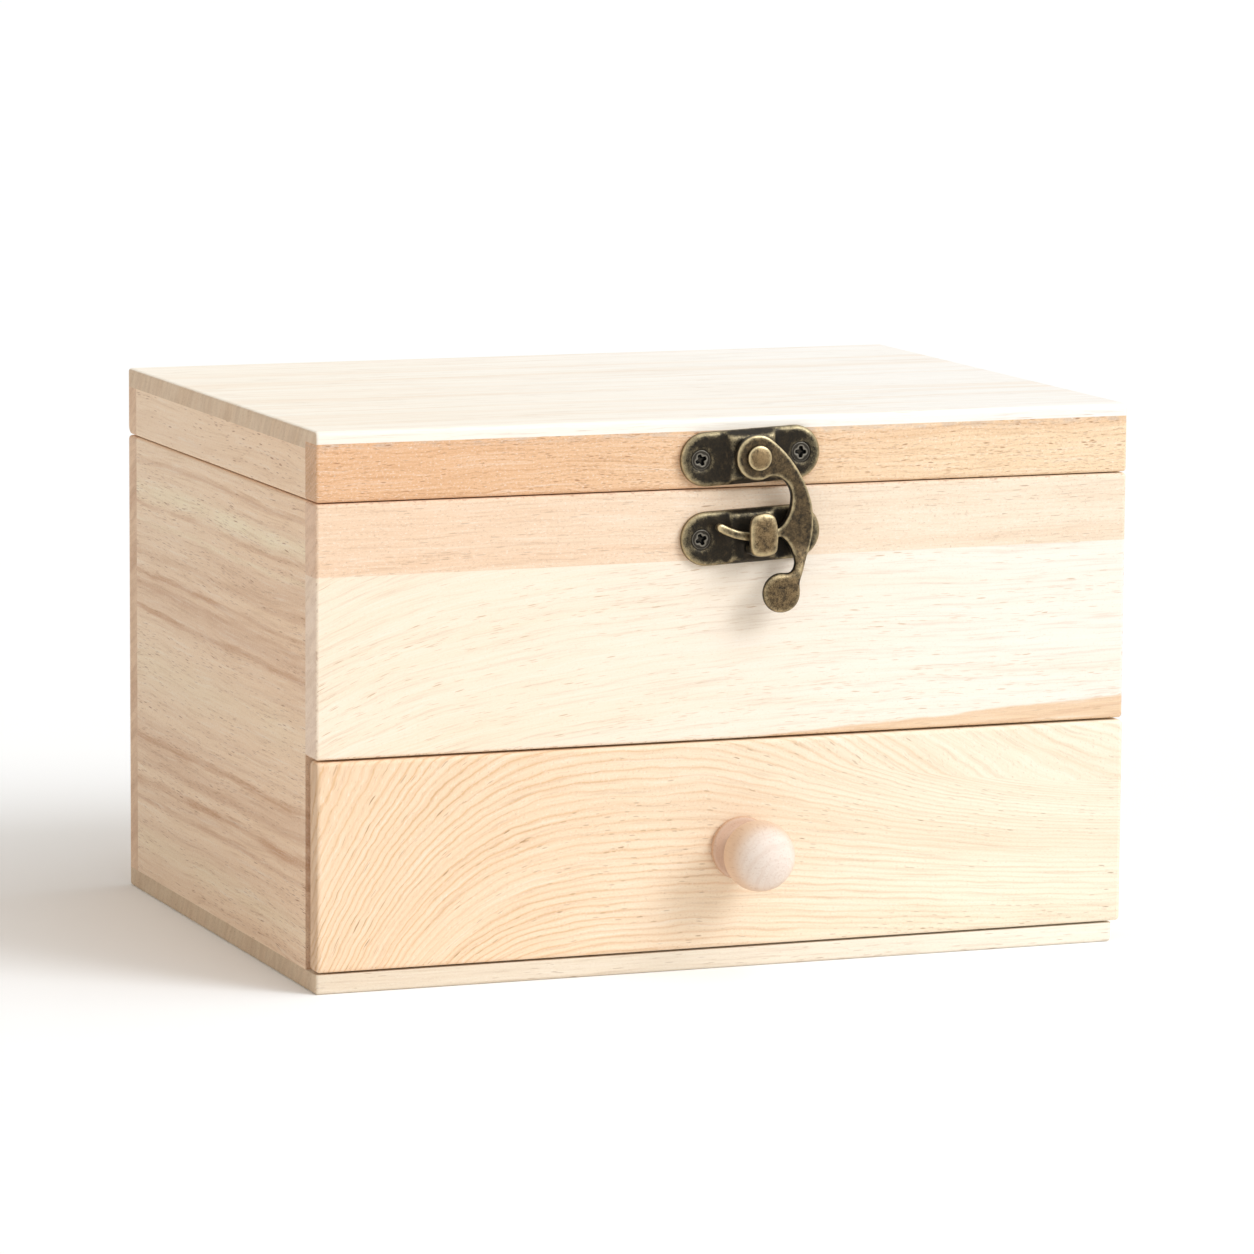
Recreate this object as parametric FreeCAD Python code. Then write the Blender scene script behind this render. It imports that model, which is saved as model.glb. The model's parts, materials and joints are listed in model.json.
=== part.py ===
import FreeCAD, Part
import math
import os

# Small lidded wooden box with one drawer below, a swing latch in front and two stop hinges behind.
# Millimetres. Origin at the centre of the underside, front towards -Y, +Z up.

# ---------------------------------------------------------------- driving dimensions

# carcass
box_width = 200.0             # over the ends of the front and back boards
box_depth = 146.6             # front panel face to back board face
front_thickness = 7.6         # front boards of box and lid
side_thickness = 7.0          # side boards of box and lid
back_thickness = 6.8          # back boards of box and lid
base_thickness = 4.6
base_end_setback = 1.8        # the base board stops short at the right-hand end
base_front_setback = 0.2
body_height = 111.8           # underside to the rim of the body
drawer_front_top = 53.2       # height of the drawer front's upper edge
front_joint_height = 95.6     # glue line between the two planks of the front panel, at the middle
front_joint_rise = 0.9        # the glue line climbs this much from left to right
floor_thickness = 3.2         # board between the compartment and the drawer
floor_groove_depth = 2.5

# lid
lid_gap = 0.3                 # between the rim of the body and the lid
lid_height = 16.1
lid_top_thickness = 4.5
lid_front_lip = 1.6           # how far the lid's front board is let into the top board

# arrises
arris_radius = 0.8            # outer edges, sanded
back_seam_lid_radius = 2.0    # lower back edge of the lid, eased so that it swings clear
back_seam_body_radius = 1.0
top_front_radius = 1.3        # front edge of the top board

# drawer
drawer_front_gap = 0.5        # above and below the drawer front
drawer_front_thickness = 5.4
drawer_front_proud = 0.6
drawer_front_radius = 1.0
drawer_side_gap = 0.8         # each side, to the side boards
drawer_back_gap = 0.5         # to the back board when shut
drawer_run_gap = 0.3          # under the drawer sides
drawer_side_height = 45.0
drawer_wall = 5.0
drawer_bottom_thickness = 3.0
drawer_bottom_lift = 4.0      # from the lower edge of the drawer sides
drawer_groove_depth = 2.0

# knob
knob_x = 2.8
knob_height = 28.3
knob_flange_radius = 7.4
knob_flange_thickness = 1.9
knob_neck_radius = 4.4        # where the neck meets flange and ball
knob_waist_radius = 4.1
knob_ball_radius = 8.2
knob_ball_centre = 12.0       # from the drawer front's face
knob_screw_radius = 1.5
knob_screw_grip = 9.0         # length inside the knob
knob_screw_head_radius = 3.5
knob_screw_head_height = 1.9
knob_screw_head_edge = 0.8    # rounding of the head's rim

# swing latch
latch_x = 4.5                 # pivot, from the middle of the box
latch_lift = 7.2              # pivot, above the lower edge of the lid
latch_tilt = 2.5              # degrees, anticlockwise seen from the front
plate_length = 34.4
plate_height = 12.6
plate_thickness = 1.8
plate_chamfer = 0.7
plate_screw_spacing = 24.6
upper_plate_shift = -0.2      # plate centre from the pivot
boss_foot = 14.0              # the raised middle of each plate
boss_top = 10.4
upper_boss_height = 3.4
lower_boss_height = 2.7
lower_plate_drop = 18.3       # lower plate's centre below the pivot
lower_plate_shift = -0.8
pivot_radius = 2.0
pivot_head_radius = 2.9
pivot_head_height = 1.4
pivot_play = 0.1              # between eye, boss and head
pivot_clearance = 0.08        # radial, rivet in the hook's eye
eye_radius = 5.3
hook_thickness = 2.3
tongue_radius = 18.2          # middle of the tongue from the pivot
tongue_height = 2.1
tongue_reach = 32.0           # degrees past the line below the pivot
tongue_root = 17.0            # degrees on the arm's side
ball_radius = 4.8
ball_x = 4.1                  # tail ball's centre from the pivot
ball_drop = 31.4
arm_bite = 0.2                # how far the arm's outline runs into the ball
keeper_width = 6.4
keeper_top_drop = 13.1        # upper and lower ends of the keeper's lip below the pivot
keeper_foot_drop = 22.1
keeper_lip_gap = 0.6          # in front of the tongue
keeper_lip_thickness = 1.6
keeper_tongue_gap = 0.4       # under the tongue
keeper_edge = 0.5

# outline of the hook's arm: distances to the right of the pivot and below it
arm_top_angle = 40.0          # degrees from straight up, where the arm leaves the eye
arm_under_angle = 58.0        # degrees below level, where it leaves the eye again
shoulder_x = 9.3
shoulder_drop = 2.6
arm_back_x = 12.9
arm_back_drop = 11.5
heel_x = 13.1
heel_drop = 16.6
neck_back_x = 11.4
neck_back_drop = 23.0
tail_back_x = 10.0
tail_back_drop = 26.2
tail_back_angle = 18.0        # degrees above level, where the arm's back meets the ball
tail_front_angle = 102.0      # where its front does
tail_front_x = 6.7
tail_front_drop = 26.7
neck_front_x = 7.8
neck_front_drop = 23.6
crook_x = 7.1
crook_drop = 20.9
tongue_start_x = 5.0          # where the arm turns into the tongue
arm_front_low_x = 7.2
arm_front_low_drop = 13.6
arm_front_x = 8.0
arm_front_drop = 10.7
arm_front_high_x = 6.9
arm_front_high_drop = 6.4

# screws
latch_screw_head_radius = 2.3
latch_screw_shank_radius = 1.1
latch_screw_length = 7.0
latch_screw_sink = 0.35       # head below the plate's face
hinge_screw_head_radius = 1.6
hinge_screw_shank_radius = 0.8
hinge_screw_length = 5.5
hinge_screw_sink = 0.05
screw_clearance = 0.05
screw_tip_share = 0.2         # radius of a screw's point over its shank's
recess_slot = 0.55            # width of the cross recess
recess_reach_share = 0.6      # half its length over the head's radius
recess_depth_share = 0.7      # its depth over the head's height

# hinges
hinge_inset = 38.0            # hinge centre from the end of the box
hinge_width = 22.0
leaf_height = 9.5             # from the pin's axis to the leaf's far edge
leaf_thickness = 0.9
knuckle_radius = 1.8
knuckle_length = 8.0          # the middle knuckle
knuckle_gap = 0.2             # between knuckles along the pin
knuckle_clearance = 0.3       # from the knuckles to the wood and to the other leaf
pin_radius = 0.85
pin_clearance = 0.05
pin_head_radius = 1.2
pin_head_height = 0.5
hinge_screw_spacing = 14.0
hinge_screw_height = 6.0      # from the pin's axis
lid_opening = 105.0           # degrees, where the hinge's lug meets its lip
stop_gap = 0.15
stop_reach = 1.9              # lug and lip beyond the pin's axis

# ---------------------------------------------------------------- derived places

left = -box_width / 2
right = box_width / 2
front = -box_depth / 2
back = box_depth / 2
side_front = front + front_thickness
side_back = back - back_thickness
side_inner = right - side_thickness
panel_bottom = drawer_front_top + drawer_front_gap
lid_bottom = body_height + lid_gap
lid_top = lid_bottom + lid_height
lid_rim_top = lid_top - lid_top_thickness
latch_height = lid_bottom + latch_lift

drawer_face = front - drawer_front_proud
drawer_inner_face = drawer_face + drawer_front_thickness
drawer_bottom_edge = base_thickness + drawer_run_gap
drawer_end = side_back - drawer_back_gap
drawer_outer = side_inner - drawer_side_gap
drawer_inner = drawer_outer - drawer_wall
drawer_top_edge = drawer_bottom_edge + drawer_side_height
drawer_panel_low = drawer_bottom_edge + drawer_bottom_lift
drawer_panel_top = drawer_panel_low + drawer_bottom_thickness

hook_low = upper_boss_height + pivot_play
hook_high = hook_low + hook_thickness
lip_low = hook_high + keeper_lip_gap
lip_high = lip_low + keeper_lip_thickness
tongue_outer = tongue_radius + tongue_height / 2
tongue_inner = tongue_radius - tongue_height / 2

seam_height = body_height + lid_gap / 2
pin_y = back + knuckle_radius + knuckle_clearance
hinge_places = [left + hinge_inset, right - hinge_inset]

OVER = 1.0                    # how far a cutter runs past the face it opens
NEAR = 1e-6                   # two coordinates closer than this are the same
X_AXIS = FreeCAD.Vector(1, 0, 0)
Z_AXIS = FreeCAD.Vector(0, 0, 1)
ORIGIN = FreeCAD.Vector(0, 0, 0)


# ---------------------------------------------------------------- helpers

def block(x0, x1, y0, y1, z0, z1):
    """A box between two corners."""
    return Part.makeBox(x1 - x0, y1 - y0, z1 - z0, FreeCAD.Vector(x0, y0, z0))


def rod(radius, start, end):
    """A cylinder from one point to another."""
    axis = FreeCAD.Vector(*end) - FreeCAD.Vector(*start)
    return Part.makeCylinder(radius, axis.Length, FreeCAD.Vector(*start), axis)


def edges_on(shape, planes):
    """The straight edges that lie in two of the planes, each given as (coordinate index, value)."""
    found = []
    for edge in shape.Edges:
        ends = [vertex.Point for vertex in edge.Vertexes]
        if len(ends) < 2:
            continue
        touched = [p for p in planes if all(abs(end[p[0]] - p[1]) < NEAR for end in ends)]
        if len(touched) >= 2:
            found.append(edge)
    return found


def eased(shape, planes, radius):
    """The shape with the arrises between its outside planes rounded."""
    return shape.makeFillet(radius, edges_on(shape, planes))


def mirrored(shape):
    """The same piece on the other side of the box."""
    return shape.mirror(ORIGIN, X_AXIS)


def export(node, *solids):
    """Write one sub-part, as one solid or as a group of separate solids."""
    pieces = [solid.removeSplitter() for solid in solids]
    shape = pieces[0] if len(pieces) == 1 else Part.makeCompound(pieces)
    shape.exportStep(os.path.join("parts", node + ".step"))


def countersunk_screw(head_radius, shank_radius, length):
    """A cross-recessed screw along Z, its head's face at z = 0 and its point downwards."""
    head = head_radius - shank_radius
    point = 2 * shank_radius
    cone = Part.makeCone(shank_radius, head_radius, head, FreeCAD.Vector(0, 0, -head))
    shank = Part.makeCylinder(shank_radius, length - head - point, FreeCAD.Vector(0, 0, point - length))
    tip = Part.makeCone(shank_radius * screw_tip_share, shank_radius, point, FreeCAD.Vector(0, 0, -length))
    return cone.fuse([shank, tip]).cut(cross_recess(head_radius, head))


def cross_recess(head_radius, head_height):
    """The cutter for the cross recess in a screw's head, opening at z = 0."""
    slot = recess_slot / 2
    reach = head_radius * recess_reach_share
    depth = head_height * recess_depth_share
    across = block(-reach, reach, -slot, slot, -depth, OVER)
    return across.fuse(block(-slot, slot, -reach, reach, -depth, OVER))


def countersink(head_radius, shank_radius, depth, sink):
    """The cutter for a screw whose head's face is at z = -sink, through a plate whose face is at z = 0."""
    rise = sink + OVER
    head = head_radius - shank_radius
    top = FreeCAD.Vector(0, 0, -sink - head)
    low = shank_radius + screw_clearance
    cone = Part.makeCone(low, low + head + rise, head + rise, top)
    return cone.fuse(Part.makeCylinder(low, depth + OVER, FreeCAD.Vector(0, 0, -depth - OVER)))


# ---------------------------------------------------------------- carcass

def base_board():
    edge = right - base_end_setback
    nose = front + base_front_setback
    board = block(left, edge, nose, back, 0, base_thickness)
    return eased(board, [(0, left), (0, edge), (1, nose), (1, back), (2, 0)], arris_radius)


def side_board():
    board = block(side_inner, right, side_front, side_back, base_thickness, body_height)
    groove = block(side_inner - OVER, side_inner + floor_groove_depth, side_front - OVER, side_back + OVER,
                   panel_bottom, panel_bottom + floor_thickness)
    return eased(board.cut(groove), [(0, right), (2, body_height)], arris_radius)


def back_board():
    board = block(left, right, side_back, back, base_thickness, body_height)
    board = eased(board, [(1, back), (2, body_height)], back_seam_body_radius)
    board = eased(board, [(0, left), (0, right), (1, back)], arris_radius)
    for place in hinge_screw_places():
        board = board.cut(hinge_pilot(place, -1))
    return board


def front_plank(lower_left, lower_right, upper_left, upper_right, planes):
    """A plank of the front panel between a lower and an upper edge, each given by its two heights."""
    corners = [(left, lower_left), (right, lower_right), (right, upper_right), (left, upper_left)]
    points = [FreeCAD.Vector(x, front, z) for x, z in corners]
    face = Part.Face(Part.makePolygon(points + points[:1]))
    plank = face.extrude(FreeCAD.Vector(0, front_thickness, 0))
    return eased(plank, planes, arris_radius)


def front_panel():
    joint_left = front_joint_height - front_joint_rise / 2
    joint_right = front_joint_height + front_joint_rise / 2
    panel = front_plank(panel_bottom, panel_bottom, joint_left, joint_right,
                        [(0, left), (0, right), (1, front), (2, panel_bottom)])
    return cut_all(panel, keeper_pilots())


def front_rail():
    joint_left = front_joint_height - front_joint_rise / 2
    joint_right = front_joint_height + front_joint_rise / 2
    rail = front_plank(joint_left, joint_right, body_height, body_height,
                       [(0, left), (0, right), (1, front), (2, body_height)])
    return cut_all(rail, keeper_pilots())


def compartment_floor():
    reach = side_inner + floor_groove_depth
    return block(-reach, reach, side_front, side_back, panel_bottom, panel_bottom + floor_thickness)


def cut_all(shape, cutters):
    for cutter in cutters:
        shape = shape.cut(cutter)
    return shape


# ---------------------------------------------------------------- lid

def lid_top_board():
    board = block(left, right, front, back, lid_rim_top, lid_top)
    rebate = block(left - OVER, right + OVER, front - OVER, side_front,
                   lid_rim_top - OVER, lid_rim_top + lid_front_lip)
    board = board.cut(rebate)
    board = eased(board, [(1, front), (2, lid_top)], top_front_radius)
    return eased(board, [(0, left), (0, right), (1, back), (2, lid_top)], arris_radius)


def lid_front_board():
    board = block(left, right, front, side_front, lid_bottom, lid_rim_top + lid_front_lip)
    board = eased(board, [(0, left), (0, right), (1, front), (2, lid_bottom)], arris_radius)
    return cut_all(board, latch_pilots())


def lid_back_board():
    board = block(left, right, side_back, back, lid_bottom, lid_rim_top)
    board = eased(board, [(1, back), (2, lid_bottom)], back_seam_lid_radius)
    board = eased(board, [(0, left), (0, right), (1, back)], arris_radius)
    for place in hinge_screw_places():
        board = board.cut(hinge_pilot(place, 1))
    return board


def lid_side_board():
    board = block(side_inner, right, side_front, side_back, lid_bottom, lid_rim_top)
    return eased(board, [(0, right), (2, lid_bottom)], arris_radius)


# ---------------------------------------------------------------- drawer

def drawer_front():
    low = base_thickness + drawer_front_gap
    board = block(left, right, drawer_face, drawer_inner_face, low, drawer_front_top)
    board = board.makeFillet(drawer_front_radius, board.Edges)
    reach = drawer_front_thickness + OVER
    return board.cut(rod(knob_screw_radius + screw_clearance, (knob_x, drawer_face - OVER, knob_height),
                         (knob_x, drawer_face + reach, knob_height)))


def drawer_side():
    board = block(drawer_inner, drawer_outer, drawer_inner_face, drawer_end,
                  drawer_bottom_edge, drawer_top_edge)
    groove = block(drawer_inner - OVER, drawer_inner + drawer_groove_depth, drawer_inner_face - OVER,
                   drawer_end + OVER, drawer_panel_low, drawer_panel_top)
    return board.cut(groove)


def drawer_back():
    return block(-drawer_inner, drawer_inner, drawer_end - drawer_wall, drawer_end,
                 drawer_panel_top, drawer_top_edge)


def drawer_bottom():
    reach = drawer_inner + drawer_groove_depth
    return block(-reach, reach, drawer_inner_face, drawer_end, drawer_panel_low, drawer_panel_top)


def knob():
    """Turned knob: a flange against the drawer front, a neck and a ball, about an axis along -Y."""
    flange_edge = knob_flange_thickness / 2
    drop = math.sqrt(knob_ball_radius ** 2 - knob_neck_radius ** 2)
    neck_end = knob_ball_centre - drop

    def at(radius, out):
        return FreeCAD.Vector(radius, 0, out)

    profile = [
        Part.makeLine(at(0, 0), at(knob_flange_radius - flange_edge, 0)),
        Part.Arc(at(knob_flange_radius - flange_edge, 0), at(knob_flange_radius, flange_edge),
                 at(knob_flange_radius - flange_edge, knob_flange_thickness)).toShape(),
        Part.makeLine(at(knob_flange_radius - flange_edge, knob_flange_thickness),
                      at(knob_neck_radius, knob_flange_thickness)),
        Part.Arc(at(knob_neck_radius, knob_flange_thickness),
                 at(knob_waist_radius, (knob_flange_thickness + neck_end) / 2),
                 at(knob_neck_radius, neck_end)).toShape(),
        Part.Arc(at(knob_neck_radius, neck_end), at(knob_ball_radius, knob_ball_centre),
                 at(0, knob_ball_centre + knob_ball_radius)).toShape(),
        Part.makeLine(at(0, knob_ball_centre + knob_ball_radius), at(0, 0)),
    ]
    turned = Part.Face(Part.Wire(profile)).revolve(ORIGIN, Z_AXIS, 360)
    hole = Part.makeCylinder(knob_screw_radius + screw_clearance, knob_screw_grip + 2 * OVER,
                             FreeCAD.Vector(0, 0, -OVER))
    turned = turned.cut(hole)
    turned.rotate(ORIGIN, X_AXIS, 90)
    turned.translate(FreeCAD.Vector(knob_x, drawer_face, knob_height))
    return turned


def knob_screw():
    """Pan head inside the drawer, shank through the drawer front into the knob."""
    head = Part.makeCylinder(knob_screw_head_radius, knob_screw_head_height)
    head = head.makeFillet(knob_screw_head_edge, [head.Edges[0]])
    recess = cross_recess(knob_screw_head_radius, knob_screw_head_height)
    recess.translate(FreeCAD.Vector(0, 0, knob_screw_head_height))
    shank = Part.makeCylinder(knob_screw_radius, drawer_front_thickness + knob_screw_grip,
                              FreeCAD.Vector(0, 0, -drawer_front_thickness - knob_screw_grip))
    screw = head.cut(recess).fuse(shank)
    screw.rotate(ORIGIN, X_AXIS, -90)
    screw.translate(FreeCAD.Vector(knob_x, drawer_inner_face, knob_height))
    return screw


# ---------------------------------------------------------------- swing latch
# The latch is drawn flat: x to the right and y up from its pivot, z outwards from the box's front.

def on_front(shape):
    """Stand a flat-drawn latch piece on the box's front, turned by the latch's tilt."""
    placed = shape.copy()
    placed.rotate(ORIGIN, Z_AXIS, latch_tilt)
    placed.rotate(ORIGIN, X_AXIS, 90)
    placed.translate(FreeCAD.Vector(latch_x, front, latch_height))
    return placed


def plate_blank(centre_x, centre_y, boss_height):
    """A round-ended plate with a bevelled rim and a raised middle."""
    half = plate_height / 2
    run = plate_length / 2 - half
    bar = block(-run, run, -half, half, 0, plate_thickness)
    ends = [Part.makeCylinder(half, plate_thickness, FreeCAD.Vector(side * run, 0, 0)) for side in (-1, 1)]
    plate = bar.fuse(ends).removeSplitter()
    rim = [edge for edge in plate.Edges
           if all(abs(vertex.Z - plate_thickness) < NEAR for vertex in edge.Vertexes)]
    plate = plate.makeChamfer(plate_chamfer, rim)
    foot = boss_foot / 2
    top = boss_top / 2
    top_half = half - plate_chamfer - (boss_height - plate_thickness) / 2
    rise = plate_thickness - plate_chamfer
    boss = Part.makeWedge(-foot, rise, -half, -top_half, -top, foot, boss_height, half, top_half, top)
    boss.rotate(ORIGIN, X_AXIS, 90)
    plate = plate.fuse(boss).removeSplitter()
    plate.translate(FreeCAD.Vector(centre_x, centre_y, 0))
    return plate


def plate_screw_spots(centre_x, centre_y):
    return [FreeCAD.Vector(centre_x + side * plate_screw_spacing / 2, centre_y, plate_thickness)
            for side in (-1, 1)]


UPPER_SCREWS = plate_screw_spots(upper_plate_shift, 0)
LOWER_SCREWS = plate_screw_spots(lower_plate_shift, -lower_plate_drop)


def drilled(plate, spots):
    cutter = countersink(latch_screw_head_radius, latch_screw_shank_radius, plate_thickness, latch_screw_sink)
    for spot in spots:
        hole = cutter.copy()
        hole.translate(spot)
        plate = plate.cut(hole)
    return plate


def latch_plate():
    plate = drilled(plate_blank(upper_plate_shift, 0, upper_boss_height), UPPER_SCREWS)
    hole = Part.makeCylinder(pivot_radius + screw_clearance, upper_boss_height + 2 * OVER,
                             FreeCAD.Vector(0, 0, -OVER))
    return on_front(plate.cut(hole))


def plate_screws(spots):
    screw = countersunk_screw(latch_screw_head_radius, latch_screw_shank_radius, latch_screw_length)
    screws = []
    for spot in spots:
        piece = screw.copy()
        piece.translate(spot - FreeCAD.Vector(0, 0, latch_screw_sink))
        screws.append(on_front(piece))
    return screws


def pilots(spots):
    """Holes in the wood for a plate's screws."""
    depth = latch_screw_length - plate_thickness + latch_screw_sink + screw_clearance
    hole = Part.makeCylinder(latch_screw_shank_radius + screw_clearance, depth + OVER,
                             FreeCAD.Vector(0, 0, -depth))
    return [on_front(hole.translated(FreeCAD.Vector(spot.x, spot.y, 0))) for spot in spots]


def latch_pilots():
    return pilots(UPPER_SCREWS)


def keeper_pilots():
    return pilots(LOWER_SCREWS)


def latch_pivot():
    """Rivet through the upper plate and the hook's eye, with a domed head."""
    head_low = hook_high + pivot_play
    shank = Part.makeCylinder(pivot_radius, head_low)
    sphere = (pivot_head_radius ** 2 + pivot_head_height ** 2) / (2 * pivot_head_height)
    ball = Part.makeSphere(sphere, FreeCAD.Vector(0, 0, head_low + pivot_head_height - sphere))
    dome = ball.common(Part.makeCylinder(pivot_head_radius, pivot_head_height, FreeCAD.Vector(0, 0, head_low)))
    return on_front(shank.fuse(dome))


def flat_solid(edges, low, high):
    """A flat-drawn outline as a solid between two heights."""
    face = Part.Face(Part.Wire(edges))
    face.translate(FreeCAD.Vector(0, 0, low))
    return face.extrude(FreeCAD.Vector(0, 0, high - low))


def arm_outline():
    """The hook's arm, from inside the eye round to inside the tail's ball."""
    def at(x, drop):
        return FreeCAD.Vector(x, -drop, 0)

    def round_a_circle(x, drop, radius, degrees):
        angle = math.radians(degrees)
        return at(x + radius * math.cos(angle), drop - radius * math.sin(angle))

    ball_centre = at(ball_x, ball_drop)
    ball_root = ball_radius - arm_bite
    eye_top = round_a_circle(0, 0, eye_radius, 90 - arm_top_angle)
    arm_back = at(arm_back_x, arm_back_drop)
    neck_back = at(neck_back_x, neck_back_drop)
    ball_right = round_a_circle(ball_x, ball_drop, ball_root, tail_back_angle)
    ball_left = round_a_circle(ball_x, ball_drop, ball_root, tail_front_angle)
    neck_front = at(neck_front_x, neck_front_drop)
    tongue_below = at(tongue_start_x, math.sqrt(tongue_outer ** 2 - tongue_start_x ** 2))
    tongue_above = at(tongue_start_x, math.sqrt(tongue_inner ** 2 - tongue_start_x ** 2))
    arm_front = at(arm_front_x, arm_front_drop)
    underarm = round_a_circle(0, 0, eye_radius, -arm_under_angle)
    return [
        Part.makeLine(ORIGIN, eye_top),
        Part.Arc(eye_top, at(shoulder_x, shoulder_drop), arm_back).toShape(),
        Part.Arc(arm_back, at(heel_x, heel_drop), neck_back).toShape(),
        Part.Arc(neck_back, at(tail_back_x, tail_back_drop), ball_right).toShape(),
        Part.makeLine(ball_right, ball_centre),
        Part.makeLine(ball_centre, ball_left),
        Part.Arc(ball_left, at(tail_front_x, tail_front_drop), neck_front).toShape(),
        Part.Arc(neck_front, at(crook_x, crook_drop), tongue_below).toShape(),
        Part.makeLine(tongue_below, tongue_above),
        Part.Arc(tongue_above, at(arm_front_low_x, arm_front_low_drop), arm_front).toShape(),
        Part.Arc(arm_front, at(arm_front_high_x, arm_front_high_drop), underarm).toShape(),
        Part.makeLine(underarm, ORIGIN),
    ]


def tongue_outline():
    """The curved tongue, its middle line a circle about the pivot."""
    def at(radius, degrees):
        angle = math.radians(degrees)
        return FreeCAD.Vector(radius * math.sin(angle), -radius * math.cos(angle), 0)

    nose = tongue_reach + math.degrees(tongue_height / 2 / tongue_radius)
    middle = (tongue_root - tongue_reach) / 2
    return [
        Part.Arc(at(tongue_outer, tongue_root), at(tongue_outer, middle),
                 at(tongue_outer, -tongue_reach)).toShape(),
        Part.Arc(at(tongue_outer, -tongue_reach), at(tongue_radius, -nose),
                 at(tongue_inner, -tongue_reach)).toShape(),
        Part.Arc(at(tongue_inner, -tongue_reach), at(tongue_inner, middle),
                 at(tongue_inner, tongue_root)).toShape(),
        Part.makeLine(at(tongue_inner, tongue_root), at(tongue_outer, tongue_root)),
    ]


def latch_hook():
    eye = Part.makeCylinder(eye_radius, hook_thickness, FreeCAD.Vector(0, 0, hook_low))
    ball = Part.makeCylinder(ball_radius, hook_thickness, FreeCAD.Vector(ball_x, -ball_drop, hook_low))
    arm = flat_solid(arm_outline(), hook_low, hook_high)
    tongue = flat_solid(tongue_outline(), hook_low, hook_high)
    hook = eye.fuse([arm, ball, tongue]).removeSplitter()
    hole = Part.makeCylinder(pivot_radius + pivot_clearance, hook_high + OVER)
    return on_front(hook.cut(hole))


def keeper_plate():
    """Lower plate with its keeper: a post under the tongue and a lip that rises in front of it."""
    plate = plate_blank(lower_plate_shift, -lower_plate_drop, lower_boss_height)
    half = keeper_width / 2
    post_top = -tongue_outer - keeper_tongue_gap
    post = block(-half, half, -keeper_foot_drop, post_top, 0, lip_high)
    lip = block(-half, half, -keeper_foot_drop, -keeper_top_drop, lip_low, lip_high)
    keeper = post.fuse(lip).removeSplitter()
    rim = [edge for edge in keeper.Edges if all(abs(vertex.Z - lip_high) < NEAR for vertex in edge.Vertexes)]
    keeper = keeper.makeChamfer(keeper_edge, rim)
    return on_front(drilled(plate.fuse(keeper).removeSplitter(), LOWER_SCREWS))


# ---------------------------------------------------------------- hinges

def hinge_screw_places():
    return [x + side * hinge_screw_spacing / 2 for x in hinge_places for side in (-1, 1)]


def on_back(shape, x, side):
    """Put a screw or its cutter, drawn along Z, into a leaf on the back: side is 1 for the lid's leaf."""
    placed = shape.copy()
    placed.rotate(ORIGIN, X_AXIS, -90)
    placed.translate(FreeCAD.Vector(x, back + leaf_thickness, seam_height + side * hinge_screw_height))
    return placed


def hinge_pilot(x, side):
    depth = hinge_screw_length + hinge_screw_sink + screw_clearance
    hole = Part.makeCylinder(hinge_screw_shank_radius + screw_clearance, depth, FreeCAD.Vector(0, 0, -depth))
    return on_back(hole, x, side)


def hinge_screws(side):
    screw = countersunk_screw(hinge_screw_head_radius, hinge_screw_shank_radius, hinge_screw_length)
    screw.translate(FreeCAD.Vector(0, 0, -hinge_screw_sink))
    return [on_back(screw, x, side) for x in hinge_screw_places()]


def leaf(x, side, knuckle_spans):
    """A leaf on the back face with its knuckles; side is 1 for the lid's leaf and -1 for the body's."""
    half = hinge_width / 2
    reach = knuckle_radius + knuckle_clearance
    near = seam_height + side * reach
    far = seam_height + side * leaf_height
    piece = block(x - half, x + half, back, back + leaf_thickness, min(near, far), max(near, far))
    for start, end in knuckle_spans:
        web = block(x + start, x + end, back, back + leaf_thickness,
                    min(seam_height, near), max(seam_height, near))
        barrel = rod(knuckle_radius, (x + start, pin_y, seam_height), (x + end, pin_y, seam_height))
        piece = piece.fuse([web, barrel])
    return piece


def finished_leaf(piece, x, side):
    """The leaf bored for its pin and countersunk for its screws."""
    half = hinge_width / 2 + OVER
    piece = piece.removeSplitter()
    piece = piece.cut(rod(pin_radius + pin_clearance, (x - half, pin_y, seam_height),
                          (x + half, pin_y, seam_height)))
    cutter = countersink(hinge_screw_head_radius, hinge_screw_shank_radius, leaf_thickness, hinge_screw_sink)
    for place in (x - hinge_screw_spacing / 2, x + hinge_screw_spacing / 2):
        piece = piece.cut(on_back(cutter, place, side))
    return piece


def body_leaf(x):
    """Outer knuckles, and a lip turned out below the middle one."""
    half = hinge_width / 2
    middle = knuckle_length / 2
    inner = middle + knuckle_gap
    piece = leaf(x, -1, [(-half, -inner), (inner, half)])
    lip_top = seam_height - knuckle_radius - knuckle_clearance
    lip = block(x - middle, x + middle, back, pin_y + stop_reach, lip_top - leaf_thickness, lip_top)
    return finished_leaf(piece.fuse(lip), x, -1)


def lid_leaf(x):
    """Middle knuckle, with a lug that comes down on the body leaf's lip when the lid is fully open."""
    middle = knuckle_length / 2
    piece = leaf(x, 1, [(-middle, middle)])
    lug_low = seam_height - knuckle_radius - knuckle_clearance + stop_gap
    lug = block(x - middle, x + middle, pin_y, pin_y + stop_reach, lug_low, lug_low + leaf_thickness)
    lug.rotate(FreeCAD.Vector(x, pin_y, seam_height), X_AXIS, lid_opening)
    return finished_leaf(piece.fuse(lug), x, 1)


def hinge_pin(x):
    half = hinge_width / 2
    pin = rod(pin_radius, (x - half, pin_y, seam_height), (x + half, pin_y, seam_height))
    heads = [rod(pin_head_radius, (x + side * half, pin_y, seam_height),
                 (x + side * (half + pin_head_height), pin_y, seam_height)) for side in (-1, 1)]
    return pin.fuse(heads)


# ---------------------------------------------------------------- build

os.makedirs("parts", exist_ok=True)

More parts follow.
